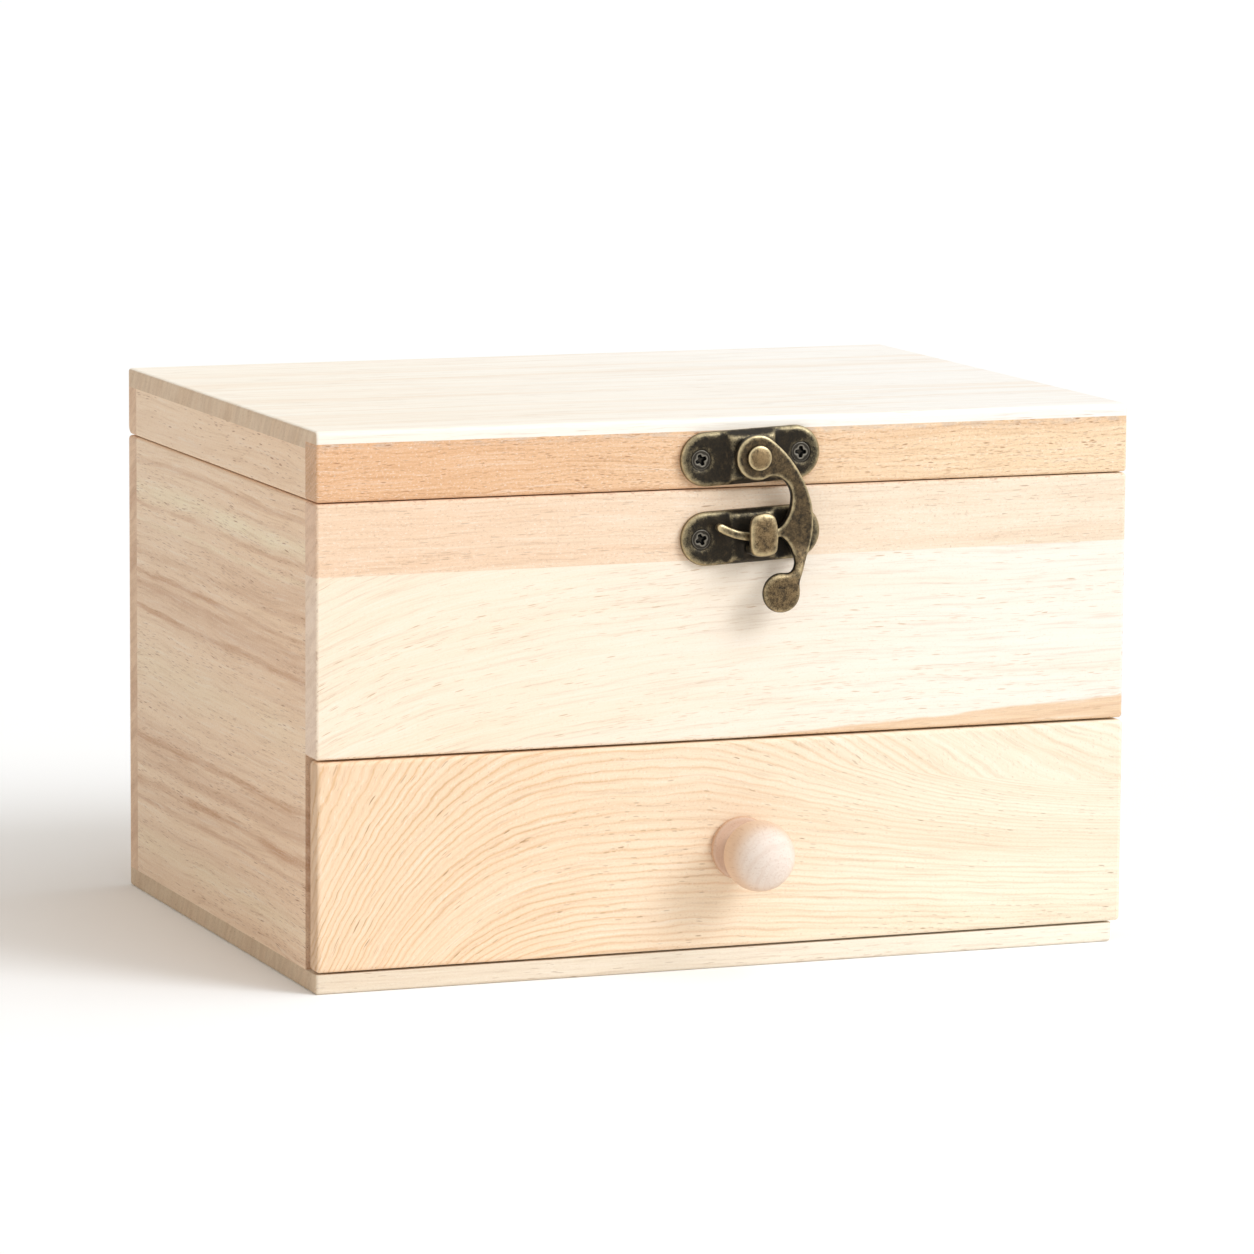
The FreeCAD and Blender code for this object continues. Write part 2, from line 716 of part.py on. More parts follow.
export("base_board", base_board())
export("right_side_board", side_board())
export("left_side_board", mirrored(side_board()))
export("back_board", back_board())
export("front_panel", front_panel())
export("front_rail", front_rail())
export("compartment_floor", compartment_floor())

export("lid_top_board", lid_top_board())
export("lid_front_board", lid_front_board())
export("lid_back_board", lid_back_board())
export("lid_right_board", lid_side_board())
export("lid_left_board", mirrored(lid_side_board()))

export("drawer_front", drawer_front())
export("drawer_right_side", drawer_side())
export("drawer_left_side", mirrored(drawer_side()))
export("drawer_back", drawer_back())
export("drawer_bottom", drawer_bottom())
export("knob", knob())
export("knob_screw", knob_screw())

export("latch_plate", latch_plate())
export("latch_plate_screws", *plate_screws(UPPER_SCREWS))
export("latch_pivot", latch_pivot())
export("latch_hook", latch_hook())
export("keeper_plate", keeper_plate())
export("keeper_screws", *plate_screws(LOWER_SCREWS))

export("body_hinge_leaves", *[body_leaf(x) for x in hinge_places])
export("lid_hinge_leaves", *[lid_leaf(x) for x in hinge_places])
export("hinge_pins", *[hinge_pin(x) for x in hinge_places])
export("body_hinge_screws", *hinge_screws(-1))
export("lid_hinge_screws", *hinge_screws(1))
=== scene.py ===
"""Bare-wood finishes, antique-bronze hardware and a studio for the lidded box with a drawer."""

import bpy
import bmesh
import json
import math
import numpy as np
from dataclasses import dataclass
from bpy.props import FloatProperty, FloatVectorProperty, IntProperty, PointerProperty
from bpy.types import Operator, Panel, PropertyGroup
from mathutils import Matrix, Vector


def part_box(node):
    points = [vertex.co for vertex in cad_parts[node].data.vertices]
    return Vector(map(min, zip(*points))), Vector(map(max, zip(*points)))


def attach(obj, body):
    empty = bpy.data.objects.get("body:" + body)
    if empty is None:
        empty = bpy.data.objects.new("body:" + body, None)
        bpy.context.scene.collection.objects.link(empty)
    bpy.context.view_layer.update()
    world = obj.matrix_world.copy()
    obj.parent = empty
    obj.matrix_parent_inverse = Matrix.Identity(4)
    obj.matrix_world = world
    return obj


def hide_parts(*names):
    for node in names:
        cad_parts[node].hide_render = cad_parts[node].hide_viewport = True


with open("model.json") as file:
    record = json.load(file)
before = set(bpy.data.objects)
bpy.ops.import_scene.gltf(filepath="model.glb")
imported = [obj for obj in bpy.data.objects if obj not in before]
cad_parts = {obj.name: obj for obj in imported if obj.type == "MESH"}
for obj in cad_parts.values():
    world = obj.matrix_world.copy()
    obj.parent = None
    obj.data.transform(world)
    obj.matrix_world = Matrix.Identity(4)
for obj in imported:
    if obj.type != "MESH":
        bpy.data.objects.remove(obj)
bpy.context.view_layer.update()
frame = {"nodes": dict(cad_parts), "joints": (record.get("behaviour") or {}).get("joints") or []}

bl_info = {
    "name": "Lidded Drawer Box",
    "version": (1, 0, 0),
    "blender": (4, 5, 0),
    "location": "3D View > Sidebar > Drawer Box",
    "description": "Finishes, hardware and studio for a small wooden box with a drawer",
    "category": "Object",
}

MM = 0.001
JOINTS = {joint["name"]: joint for joint in frame["joints"]}
TO_FRONT = Matrix.Rotation(math.radians(90), 4, "X")     # turns what is drawn along Z to the front
TO_BACK = Matrix.Rotation(math.radians(-90), 4, "X")     # or to the back
ON_AXIS = 1e-9                                           # metres; a smaller radius is on the axis


# ---- settings

def colour(name, description, red, green, blue):
    """A colour setting, in linear light."""
    return FloatVectorProperty(name=name, description=description, subtype="COLOR", size=3,
                               min=0.0, max=1.0, default=(red, green, blue))


def length(name, description, millimetres):
    """A length setting, given in millimetres and kept in metres."""
    return FloatProperty(name=name, description=description, unit="LENGTH", subtype="DISTANCE",
                         precision=5, default=millimetres * MM)


def share(name, description, default):
    """A setting between 0 and 1."""
    return FloatProperty(name=name, description=description, subtype="FACTOR",
                         min=0.0, max=1.0, default=default)


def angle(name, description, degrees):
    """An angle setting, given in degrees and kept in radians."""
    return FloatProperty(name=name, description=description, subtype="ANGLE",
                         default=math.radians(degrees))


def number(name, description, default):
    """A plain number setting."""
    return FloatProperty(name=name, description=description, default=default)


def passes(name, description, default):
    """A number of smoothing passes."""
    return IntProperty(name=name, description=description, default=default)


def direction(name, description, towards):
    """A direction setting."""
    return FloatVectorProperty(name=name, description=description, size=3, subtype="DIRECTION",
                               default=towards)


# Colours that nearly every board has.

# painted light: on the boards seen from the front, the right end's tone is lighter than the left end's,
# partly as the wood's own tone and partly as painted light falling from the right
def left_end_and_painted_shade(*tone):
    return colour("Left End", "Bare wood at the left end", *tone)


def right_end_and_painted_light(*tone):
    return colour("Right End", "Bare wood at the right end", *tone)


def bands(*tone):
    return colour("Bands", "Long darker bands", *tone)


def dark_pores(*tone):
    return colour("Pores", "Short dark pores", *tone)


class LidTopWood(PropertyGroup):
    """The lid's top board: nearly white, with long faint streaks."""

    left: left_end_and_painted_shade(0.97, 0.90, 0.79)
    right: right_end_and_painted_light(0.98, 0.95, 0.90)
    band: bands(0.86, 0.68, 0.50)
    pore: dark_pores(0.52, 0.36, 0.22)


class LidFrontWood(PropertyGroup):
    """The lid's front board: orange tan with many short brown pores."""

    left: left_end_and_painted_shade(0.82, 0.495, 0.285)
    right: right_end_and_painted_light(0.94, 0.71, 0.47)
    band: bands(0.74, 0.42, 0.22)
    pore: dark_pores(0.40, 0.19, 0.09)


class RailWood(PropertyGroup):
    """The upper plank of the front: pinkish and finely speckled."""

    left: left_end_and_painted_shade(0.89, 0.65, 0.46)
    right: right_end_and_painted_light(0.94, 0.79, 0.62)
    band: bands(0.84, 0.56, 0.36)
    pore: dark_pores(0.45, 0.28, 0.17)


class PanelWood(PropertyGroup):
    """The lower plank of the front: cream, with fine dashes and a strip of heartwood."""

    left: left_end_and_painted_shade(0.95, 0.80, 0.63)
    right: right_end_and_painted_light(0.97, 0.89, 0.79)
    band: bands(0.90, 0.72, 0.50)
    pore: dark_pores(0.62, 0.41, 0.25)
    heart: colour("Heartwood", "Strip along the lower right edge", 0.86, 0.60, 0.37)


class DrawerFrontWood(PropertyGroup):
    """The drawer's front: a fan of growth rings."""

    left: left_end_and_painted_shade(0.93, 0.68, 0.465)
    right: right_end_and_painted_light(0.96, 0.87, 0.70)
    band: colour("Rings", "Growth rings", 0.76, 0.47, 0.24)
    pore: dark_pores(0.42, 0.25, 0.13)


class CarcassWood(PropertyGroup):
    """Side and back boards: browner, with broad streaks."""

    left: colour("Front End", "Bare wood at the front", 0.92, 0.69, 0.49)
    right: colour("Back End", "Bare wood at the back", 0.93, 0.73, 0.54)
    band: bands(0.66, 0.42, 0.28)
    pore: dark_pores(0.42, 0.22, 0.13)
    cream: colour("Cream Streaks", "Pale streaks along the left side board", 0.95, 0.82, 0.60)
    russet: colour("Russet Streaks", "Dark streaks along the left side board", 0.56, 0.29, 0.15)


class BaseWood(PropertyGroup):
    """The base board: greyish at the left, nearly white at the right, partly as painted light from the
    right.
    """

    left: left_end_and_painted_shade(0.80, 0.68, 0.53)
    right: right_end_and_painted_light(0.95, 0.87, 0.74)
    band: bands(0.78, 0.60, 0.44)
    pore: dark_pores(0.42, 0.28, 0.18)


class InnerWood(PropertyGroup):
    """Drawer sides, back and bottom, and the compartment's floor."""

    left: colour("One End", "Bare wood at one end", 0.90, 0.74, 0.54)
    right: colour("Other End", "Bare wood at the other end", 0.91, 0.77, 0.58)
    band: bands(0.78, 0.55, 0.34)
    pore: dark_pores(0.40, 0.25, 0.14)


class KnobSettings(PropertyGroup):
    """The turned knob."""

    pale: colour("Pale Wood", "Bare turned wood", 0.84, 0.725, 0.64)
    warm: colour("Warm Wood", "Rings in the turned wood", 0.70, 0.52, 0.41)
    # partly side grain and partly painted warm light bounced from the drawer front onto the sides of the
    # knob
    side: colour("Side Grain", "Warmer wood round the sides of the knob", 0.72, 0.50, 0.34)
    # painted shade: the foot colour darkens the knob towards the drawer front and stands in for the shade
    # that the ball throws on its neck and flange
    foot: colour("Foot", "Darker wood where the knob meets the drawer", 0.58, 0.33, 0.19)
    flange_radius: length("Flange Radius", "Foot against the drawer front", 7.4)
    flange_thickness: length("Flange Thickness", "Foot against the drawer front", 1.9)
    neck_radius: length("Neck Radius", "Where the neck meets flange and ball", 4.4)
    waist_radius: length("Waist Radius", "Narrowest place of the neck", 4.1)
    ball_radius: length("Ball Radius", "The round end", 8.2)
    ball_centre: length("Ball Centre", "From the drawer front's face", 12.0)


class LatchSettings(PropertyGroup):
    """The swing latch and its plates."""

    tilt: angle("Tilt", "Turn of the whole latch, seen from the front", 2.5)
    voxel: length("Mesh Step", "Size of the faces of the cast pieces", 0.2)
    plate_wear: length("Plate Wear", "Relief at which the plates are rubbed bright", 0.25)
    plate_rounds: passes("Plate Softening", "Passes on the plates", 10)
    hook_rounds: passes("Hook Softening", "Smoothing passes on the hook", 24)
    raised_rounds: passes("Raised Middle", "Extra passes above the face", 45)
    ball_rounds: passes("Ball Softening", "Extra passes on the tail's ball", 70)
    keeper_rounds: passes("Keeper Softening", "Extra passes on the keeper", 60)
    keeper_spread: share("Keeper Spread", "Widening that makes up for the keeper's rounding", 0.17)
    keeper_corner: share("Keeper Corners", "How far the keeper's corners are drawn in", 0.20)
    keeper_dome: length("Keeper Dome", "How far the middle of the keeper's face rises", 0.6)
    tail_lift: length("Tail Lift", "How far the tail bends away from the box", 2.0)
    tail_start: length("Tail Start", "Below the pivot, where the bend begins", 20.0)
    tail_end: length("Tail End", "Below the pivot, where the bend ends", 28.0)
    ball_start: length("Ball Start", "Below the pivot, where the ball's extra passes begin", 22.0)
    ball_full: length("Ball Full", "Below the pivot, where they are all made", 24.5)
    rivet_head: length("Rivet Head", "Radius of the rivet's head", 2.9)
    rivet_rise: length("Rivet Rise", "Height of the rivet's head", 1.4)
    rivet_rim: length("Rivet Rim", "Rounding of the head's rim", 0.5)
    rivet_shank: length("Rivet Shank", "Radius of the rivet's shank", 2.0)
    hinge_rounds: passes("Hinge Softening", "Smoothing passes on the hinges", 2)
    pin_step: share("Pin Step", "Mesh step of the hinge pins over the latch's", 0.75)


class ScrewSettings(PropertyGroup):
    """The screws of the latch plates and of the hinges."""

    head: length("Plate Screw Head", "Radius of a latch screw's head", 2.3)
    shank: length("Plate Screw Shank", "Radius of a latch screw's shank", 1.1)
    reach: length("Plate Screw Length", "From the head's face to the point", 7.0)
    dome: length("Head Dome", "How far the middle of a screw's head rises", 0.12)
    spacing: length("Plate Screw Spacing", "Between the two screws of a plate", 24.6)
    upper_shift: length("Upper Pair", "Middle of the upper pair, right of the pivot", -0.2)
    lower_shift: length("Lower Pair", "Middle of the lower pair, right of the pivot", -0.8)
    lower_drop: length("Lower Pair Drop", "From the pivot down to the lower pair", 18.3)
    seat: length("Head Face", "Face of a head above the box's front", 1.45)
    hinge_head: length("Hinge Screw Head", "Radius of a hinge screw's head", 1.6)
    hinge_shank: length("Hinge Screw Shank", "Radius of a hinge screw's shank", 0.8)
    hinge_reach: length("Hinge Screw Length", "From the head's face to the point", 5.5)
    hinge_spacing: length("Hinge Screw Spacing", "Between the two screws of a leaf", 14.0)
    hinge_offset: length("Hinge Screw Offset", "From the pin's height to a row of screws", 6.0)
    pan_head: length("Knob Screw Head", "Radius of the knob screw's head", 3.5)
    pan_depth: length("Knob Screw Head Depth", "Thickness of the knob screw's head", 1.9)
    pan_shank: length("Knob Screw Shank", "Radius of the knob screw's shank", 1.5)


class BronzeSettings(PropertyGroup):
    """Antique-bronze plating."""

    dark: colour("Patina", "Dark plating in the recesses and on the flats", 0.011, 0.009, 0.006)
    middle: colour("Bronze", "Plating that is partly rubbed through", 0.25, 0.165, 0.077)
    bright: colour("Rubbed Brass", "Edges that are rubbed bright", 0.62, 0.50, 0.29)
    screw: colour("Screw", "Blackened screws", 0.040, 0.034, 0.026)
    steel: colour("Steel", "Zinc-plated screw inside the drawer", 0.55, 0.54, 0.52)


class StudioSettings(PropertyGroup):
    """Floor, lights and camera."""

    floor: colour("Floor", "Matt white floor", 0.90, 0.90, 0.90)
    shown_floor: colour("Floor as Seen", "What the camera and metal see", 1.0, 1.0, 1.0)
    sky: number("Sky", "Strength of the light from all round", 0.50)
    sky_tint: colour("Sky Tint", "Warm light from all round", 1.0, 0.945, 0.87)
    lamp_tint: colour("Lamp Tint", "Slightly cool light of the lamps", 0.90, 0.95, 1.0)
    key: number("Key Light", "Strength of the small key light", 1.36)
    key_size: angle("Key Size", "Angle that the key light fills", 26.0)
    key_from: direction("Key Direction", "Towards the key light", (0.56, -0.60, 0.60))
    softbox: number("Softbox", "Strength of the broad light", 1.24)
    softbox_size: angle("Softbox Size", "Angle that the broad light fills", 75.0)
    softbox_from: direction("Softbox Direction", "Towards the broad light", (0.50, -0.45, 0.78))
    card: number("Card", "Strength of the pale card low on the left", 0.30)
    card_size: angle("Card Size", "Angle that the card fills", 60.0)
    card_from: direction("Card Direction", "Towards the card", (-0.95, -0.35, 0.18))
    lens: number("Lens", "Focal length in millimetres", 185.3)
    camera: FloatVectorProperty(name="Camera", description="Place of the camera", size=3, unit="LENGTH",
                                subtype="TRANSLATION", default=(-0.5484, -1.4357, 0.2902))
    azimuth: angle("Azimuth", "Direction the camera looks from", -21.005)
    elevation: angle("Elevation", "How far the camera looks down", 8.163)
    roll: angle("Roll", "Turn of the camera about its line of sight", -0.391)


class DrawerBoxSettings(PropertyGroup):
    """Everything that can be changed about the box's looks."""

    lid_top: PointerProperty(type=LidTopWood)
    lid_front: PointerProperty(type=LidFrontWood)
    rail: PointerProperty(type=RailWood)
    panel: PointerProperty(type=PanelWood)
    drawer_front: PointerProperty(type=DrawerFrontWood)
    carcass: PointerProperty(type=CarcassWood)
    base: PointerProperty(type=BaseWood)
    inner: PointerProperty(type=InnerWood)
    knob: PointerProperty(type=KnobSettings)
    latch: PointerProperty(type=LatchSettings)
    screws: PointerProperty(type=ScrewSettings)
    bronze: PointerProperty(type=BronzeSettings)
    studio: PointerProperty(type=StudioSettings)


# ---- shader expressions

class Term:
    """A shader output that arithmetic is written on: each operation adds its Math node."""

    def __init__(self, paint, socket):
        self.paint = paint
        self.socket = socket

    def __add__(self, other):
        return self.paint.maths("ADD", self, other)

    def __radd__(self, other):
        return self.paint.maths("ADD", other, self)

    def __sub__(self, other):
        return self.paint.maths("SUBTRACT", self, other)

    def __rsub__(self, other):
        return self.paint.maths("SUBTRACT", other, self)

    def __mul__(self, other):
        return self.paint.maths("MULTIPLY", self, other)

    def __rmul__(self, other):
        return self.paint.maths("MULTIPLY", other, self)

    def __pow__(self, other):
        return self.paint.maths("POWER", self, other)

    def __lt__(self, other):
        return self.paint.maths("LESS_THAN", self, other)

    def __abs__(self):
        return self.paint.maths("ABSOLUTE", self)


class Paint:
    """The node tree of a material or a world, and short ways to add to it."""

    def __init__(self, owner):
        owner.use_nodes = True
        self.owner = owner
        self.tree = owner.node_tree
        self.tree.nodes.clear()

    def add(self, kind, settings=None, inputs=None):
        """Add a node: first its settings, then the value or the link of each named input."""
        node = self.tree.nodes.new(kind)
        for key, value in (settings or {}).items():
            setattr(node, key, value)
        for key, value in (inputs or {}).items():
            if isinstance(value, Term):
                self.tree.links.new(value.socket, node.inputs[key])
            else:
                node.inputs[key].default_value = value
        return node

    def out(self, node, key=0):
        """An output of a node, ready for arithmetic."""
        return Term(self, node.outputs[key])

    def maths(self, operation, *values):
        """One Math node."""
        node = self.add("ShaderNodeMath", {"operation": operation}, dict(enumerate(values)))
        return self.out(node)

    def place(self):
        """The three object coordinates in millimetres."""
        coordinates = self.out(self.add("ShaderNodeTexCoord"), "Object")
        return [term * (1 / MM) for term in self.split(coordinates)]

    def normal(self):
        """The three parts of the surface's direction."""
        return self.split(self.out(self.add("ShaderNodeTexCoord"), "Normal"))

    def split(self, vector):
        node = self.add("ShaderNodeSeparateXYZ", inputs={"Vector": vector})
        return [self.out(node, key) for key in "XYZ"]

    def join(self, *parts):
        return self.out(self.add("ShaderNodeCombineXYZ", inputs=dict(enumerate(parts))))

    def noise(self, *parts, detail=2.0, roughness=0.5):
        """Smooth noise about 0.5, one unit of the coordinates to a feature."""
        settings = {"noise_dimensions": "3D"}
        inputs = {"Vector": self.join(*parts), "Scale": 1.0, "Detail": detail, "Roughness": roughness}
        return self.out(self.add("ShaderNodeTexNoise", settings, inputs))

    def cells(self, *parts):
        """The distance to the nearest scattered point and a number that belongs to that point."""
        inputs = {"Vector": self.join(*parts), "Scale": 1.0}
        node = self.add("ShaderNodeTexVoronoi", {"feature": "F1"}, inputs)
        red = self.add("ShaderNodeSeparateColor", inputs={"Color": self.out(node, "Color")})
        return self.out(node, "Distance"), self.out(red, "Red")

    def ease(self, value, low, high):
        """0 below low and 1 above high, smooth between; low may be the larger."""
        settings = {"interpolation_type": "SMOOTHSTEP"}
        return self.out(self.add("ShaderNodeMapRange", settings, {"Value": value, 1: low, 2: high}))

    def mix(self, first, second, factor, blend="MIX"):
        """A colour between two colours."""
        settings = {"data_type": "RGBA", "blend_type": blend}
        inputs = {0: factor, 6: rgba(first), 7: rgba(second)}
        return self.out(self.add("ShaderNodeMix", settings, inputs), 2)

    def relief(self):
        """How far the surface stands out of its surroundings, from -1 to 1."""
        return self.out(self.add("ShaderNodeAttribute", {"attribute_name": "relief"}), "Fac")

    def finish(self, tone, roughness, height, strength, depth, more):
        """The material: a colour, a roughness, a relief whose depth is in millimetres, and more."""
        bump = self.add("ShaderNodeBump", inputs={"Strength": strength, "Distance": depth * MM,
                                                  "Height": height})
        inputs = {"Base Color": tone, "Roughness": roughness, "Normal": self.out(bump), **more}
        return self.surface(self.add("ShaderNodeBsdfPrincipled", inputs=inputs))

    def surface(self, shader):
        """The material that a shader makes."""
        self.add("ShaderNodeOutputMaterial", inputs={"Surface": self.out(shader)})
        return self.owner


def rgba(value):
    """A colour as the four numbers that a socket takes; a link is passed on."""
    return value if isinstance(value, Term) else (*value[:3], 1.0)


# ---- bare wood

# Colours that the grain is drawn with, in linear light.
FIBRE_DARK = (0.62, 0.50, 0.40)
FIBRE_PALE = (1.0, 0.97, 0.90)
SPECK_PALE = (1.0, 0.97, 0.91)
END_RINGS = (0.60, 0.50, 0.42)
TORN_EDGE = (0.50, 0.30, 0.20)
HEART_GRAIN = (0.72, 0.42, 0.22)
SCUFF = (0.60, 0.49, 0.41)
TURNED_FIBRE = (0.66, 0.52, 0.44)


@dataclass
class Board:
    """How one board was cut. Strengths are shares, lengths are in millimetres."""

    node: str
    tones: PropertyGroup
    axes: str                           # along, across and through the board
    figure: object                      # the function that gives the run of its rings
    ring: float = 0.25
    spacing: float = 5.0                # from ring to ring
    band: float = 0.5
    pores: float = 0.3                  # share of the fine pores that show
    deep: float = 0.06                  # share of the deep pores that show
    pore_length: float = 4.5
    pore_pitch: float = 0.42            # across the fibre
    speckle: float = 0.22
    wander: float = 3.0                 # how far the rings stray over the board
    ripple: float = 0.9                 # how far they stray within a few millimetres
    torn: float = 0.0                   # darker torn fibre on the arrises
    end: tuple = (0.90, 0.87, 0.86)     # end grain over face grain
    extra: object = None                # what is drawn over the bands
    seed: float = 0.0


def straight(paint, along, across, depth):
    """Rings that run the length of the board, curved a little through its thickness."""
    return across + depth * 0.6


def rising(paint, along, across, depth):
    """Rings that climb from the left end and level out towards the middle."""
    return across + paint.maths("EXPONENT", (along + 100.0) * (-1 / 45.0)) * 20.0 + depth * 0.5


def ring_fall(paint, height):
    """How steeply the rings of the drawer front fall to the right at a height."""
    board_top = 52.0
    return (paint.maths("MINIMUM", height, board_top) * 0.02) ** 3.0 * 0.55 + 0.07


def fanned(paint, along, across, depth):
    """Rings that fan up steeply from the left end, level out in the middle and fall to the right.

    They lie closer together towards the board's lower edge.
    """
    climb_end, climb_rate = 20.0, 0.000113
    fall_start, fall_end, fall_run = -14.0, 112.0, 82.0
    crowding, top_level, top_spacing = 0.0038, 55.0, 0.55
    left = paint.maths("MAXIMUM", along * -1.0 - climb_end, 0.0)
    climb = left ** 3.0 * climb_rate
    run = paint.ease(along, fall_start, fall_end) * fall_run
    midway = across + run * ring_fall(paint, across) * 0.5
    level = across + climb + run * ring_fall(paint, midway)
    lower = paint.maths("MINIMUM", level, top_level)
    spread = level - level * level * crowding
    even = lower - lower * lower * crowding + (level - lower) * top_spacing
    return spread + (even - spread) * paint.ease(along, 0.0, 20.0) + depth * 0.5


def pore_field(paint, board, level, along, depth, pitch, share_of):
    """Short pores strewn along the fibre: 1 inside a pore."""
    distance, lot = paint.cells(level * (1 / pitch), along * (1 / board.pore_length),
                                depth * (1 / pitch) + board.seed)
    return paint.ease(distance, 0.36, 0.16) * (lot < share_of)


def bare_wood(board):
    """A sanded softwood board: bands, rings, fibre, pores, end grain and torn arrises."""
    paint = Paint(bpy.data.materials.new(board.node + "_wood"))
    tones = board.tones
    places = dict(zip("xyz", paint.place()))
    facing = dict(zip("xyz", paint.normal()))
    along, across, depth = (places[axis] for axis in board.axes)
    reach = half_length(board)
    seed = board.seed

    wander = paint.noise(along * 0.011, across * 0.03 + seed, depth * 0.03, detail=2.0)
    ripple = paint.noise(along * 0.09, across * 0.2, depth * 0.2 + seed, detail=2.0)
    level = board.figure(paint, along, across, depth)
    level = level + (wander - 0.5) * board.wander * 2 + (ripple - 0.5) * board.ripple

    broad = paint.noise(level * 0.11, along * 0.004, depth * 0.02 + seed, detail=4.0, roughness=0.55)
    fibre = paint.noise(level * 1.6, along * 0.05, depth * 1.6 + seed, detail=3.0, roughness=0.65)
    speckle = paint.noise(level * 3.2, along * 1.5, depth * 3.2 + seed, detail=2.0, roughness=0.7)
    drift = paint.noise(level * 0.05 + seed, 0.0, 0.0, detail=1.0)
    phase = paint.maths("FRACT", level * (1 / board.spacing) + (drift - 0.5) * 4.0)
    ridge = 1.0 - abs(phase * 2.0 - 1.0)
    patchy = paint.ease(paint.noise(level * 0.2, along * 0.02, seed, detail=2.0), 0.30, 0.58)
    ring = ridge ** 3.0 * (patchy * 0.7 + 0.3)

    # painted light: the colour runs from the left end's tone to the right end's, partly as the wood's own
    # tone and partly as painted light that grows towards the right
    wood = paint.mix(tones.left, tones.right, paint.ease(along, -reach, reach))
    wood = paint.mix(wood, tones.band, paint.ease(broad, 0.42, 0.72) * board.band)
    if board.extra:
        wood = board.extra(paint, wood, places)
    fade = 1.35 - paint.ease(along, -reach, reach) * 0.95
    wood = paint.mix(wood, tones.band, ring * board.ring * fade)
    wood = paint.mix(wood, FIBRE_DARK, paint.ease(fibre, 0.48, 0.80) * 0.40, "MULTIPLY")
    wood = paint.mix(wood, FIBRE_PALE, paint.ease(fibre, 0.50, 0.20) * 0.28)
    wood = paint.mix(wood, tones.pore, paint.ease(speckle, 0.55, 0.78) * board.speckle)
    wood = paint.mix(wood, SPECK_PALE, paint.ease(speckle, 0.44, 0.26) * board.speckle * 0.9)

    crowd = paint.ease(paint.noise(level * 0.10, along * 0.015, seed + 7.0, detail=2.0), 0.34, 0.64)
    crowd = crowd * (ridge * 1.3 + 0.35)
    fine = pore_field(paint, board, level, along, depth, board.pore_pitch, crowd * board.pores)
    deep = pore_field(paint, board, level, along + 31.0, depth, board.pore_pitch * 1.3, crowd * board.deep)
    wood = paint.mix(wood, tones.pore, fine * 0.45)
    wood = paint.mix(wood, tones.pore, deep * 0.75)

    end = paint.ease(abs(facing[board.axes[0]]), 0.55, 0.9)
    end_rings = paint.ease(paint.noise(level * 0.5, depth * 0.15, seed, detail=3.0), 0.35, 0.7)
    wood = paint.mix(wood, board.end, end, "MULTIPLY")
    wood = paint.mix(wood, END_RINGS, end * end_rings * 0.28, "MULTIPLY")

    if board.torn:
        squareness = paint.maths("MAXIMUM", abs(facing["x"]), abs(facing["y"]))
        squareness = paint.maths("MAXIMUM", squareness, abs(facing["z"]))
        ragged = paint.noise(places["x"] * 0.9, places["y"] * 0.9, places["z"] * 0.9, detail=3.0)
        torn = paint.ease(squareness, 0.995, 0.80) * paint.ease(ragged, 0.50, 0.66)
        wood = paint.mix(wood, TORN_EDGE, torn * board.torn)

    height = fibre * 0.5 + speckle * 0.25 + ring * 0.25 - fine * 0.25 - deep * 0.4
    return paint.finish(wood, 0.62 + fibre * 0.16, height, 0.35, 0.12, {"Specular IOR Level": 0.28})


def half_length(board):
    """Half the board's length in millimetres."""
    low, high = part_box(board.node)
    axis = "xyz".index(board.axes[0])
    return max(abs(low[axis]), abs(high[axis])) / MM


def dress_boards(*boards):
    """Give each board's CAD piece its wood."""
    for board in boards:
        material = bare_wood(board)
        for slot in frame["nodes"][board.node].material_slots:
            slot.material = material


def heartwood_strip(tones):
    """The brown strip along the lower right edge of the front panel, drawn over its wood."""
    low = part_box("front_panel")[0].z / MM

    def over(paint, wood, places):
        x, z = places["x"], places["z"]
        edge = paint.maths("MAXIMUM", x - 6.0, 0.0) * 0.058
        wave = (paint.noise(x * 0.05, z * 0.1, 3.0, detail=3.0) - 0.5) * 2.2
        inside = paint.ease(z - low - edge - wave, 0.5, -0.3) * paint.ease(x, -6.0, 10.0)
        grain = paint.noise(x * 0.03, (z - edge) * 0.9, 1.0, detail=3.0)
        heart = paint.mix(tones.heart, HEART_GRAIN, paint.ease(grain, 0.42, 0.68) * 0.6)
        return paint.mix(wood, heart, inside * 0.85)

    return over


def side_streaks(tones):
    """Cream and russet streaks along the left side board, at heights in millimetres."""
    cream = ((100.0, 4.0, 0.95), (92.5, 1.2, 0.40), (57.0, 9.0, 0.35), (13.0, 5.0, 0.45))
    russet = ((107.0, 1.6, 0.40), (96.5, 1.1, 0.45), (85.0, 2.2, 0.30), (80.0, 1.3, 0.65), (77.0, 1.5, 0.40),
              (71.0, 1.3, 0.60), (39.5, 1.7, 0.60), (33.5, 1.8, 0.30), (28.5, 2.0, 0.80), (23.5, 1.3, 0.50))

    def over(paint, wood, places):
        y, z = places["y"], places["z"]
        bend = (paint.noise(y * 0.014, z * 0.02, 5.0, detail=2.0) - 0.5) * 5.0
        frayed = (paint.noise(y * 0.06, z * 1.3, 1.0, detail=3.0, roughness=0.7) - 0.5) * 3.0
        height = z + bend + frayed
        for tone, streaks in ((tones.cream, cream), (tones.russet, russet)):
            for middle, width, strength in streaks:
                broken = paint.ease(paint.noise(y * 0.028, middle, 3.0, detail=2.0), 0.25, 0.62)
                inside = paint.ease(abs(height - middle), width, 0.0) * (broken * 0.7 + 0.3)
                wood = paint.mix(wood, tone, inside * strength)
        return wood

    return over


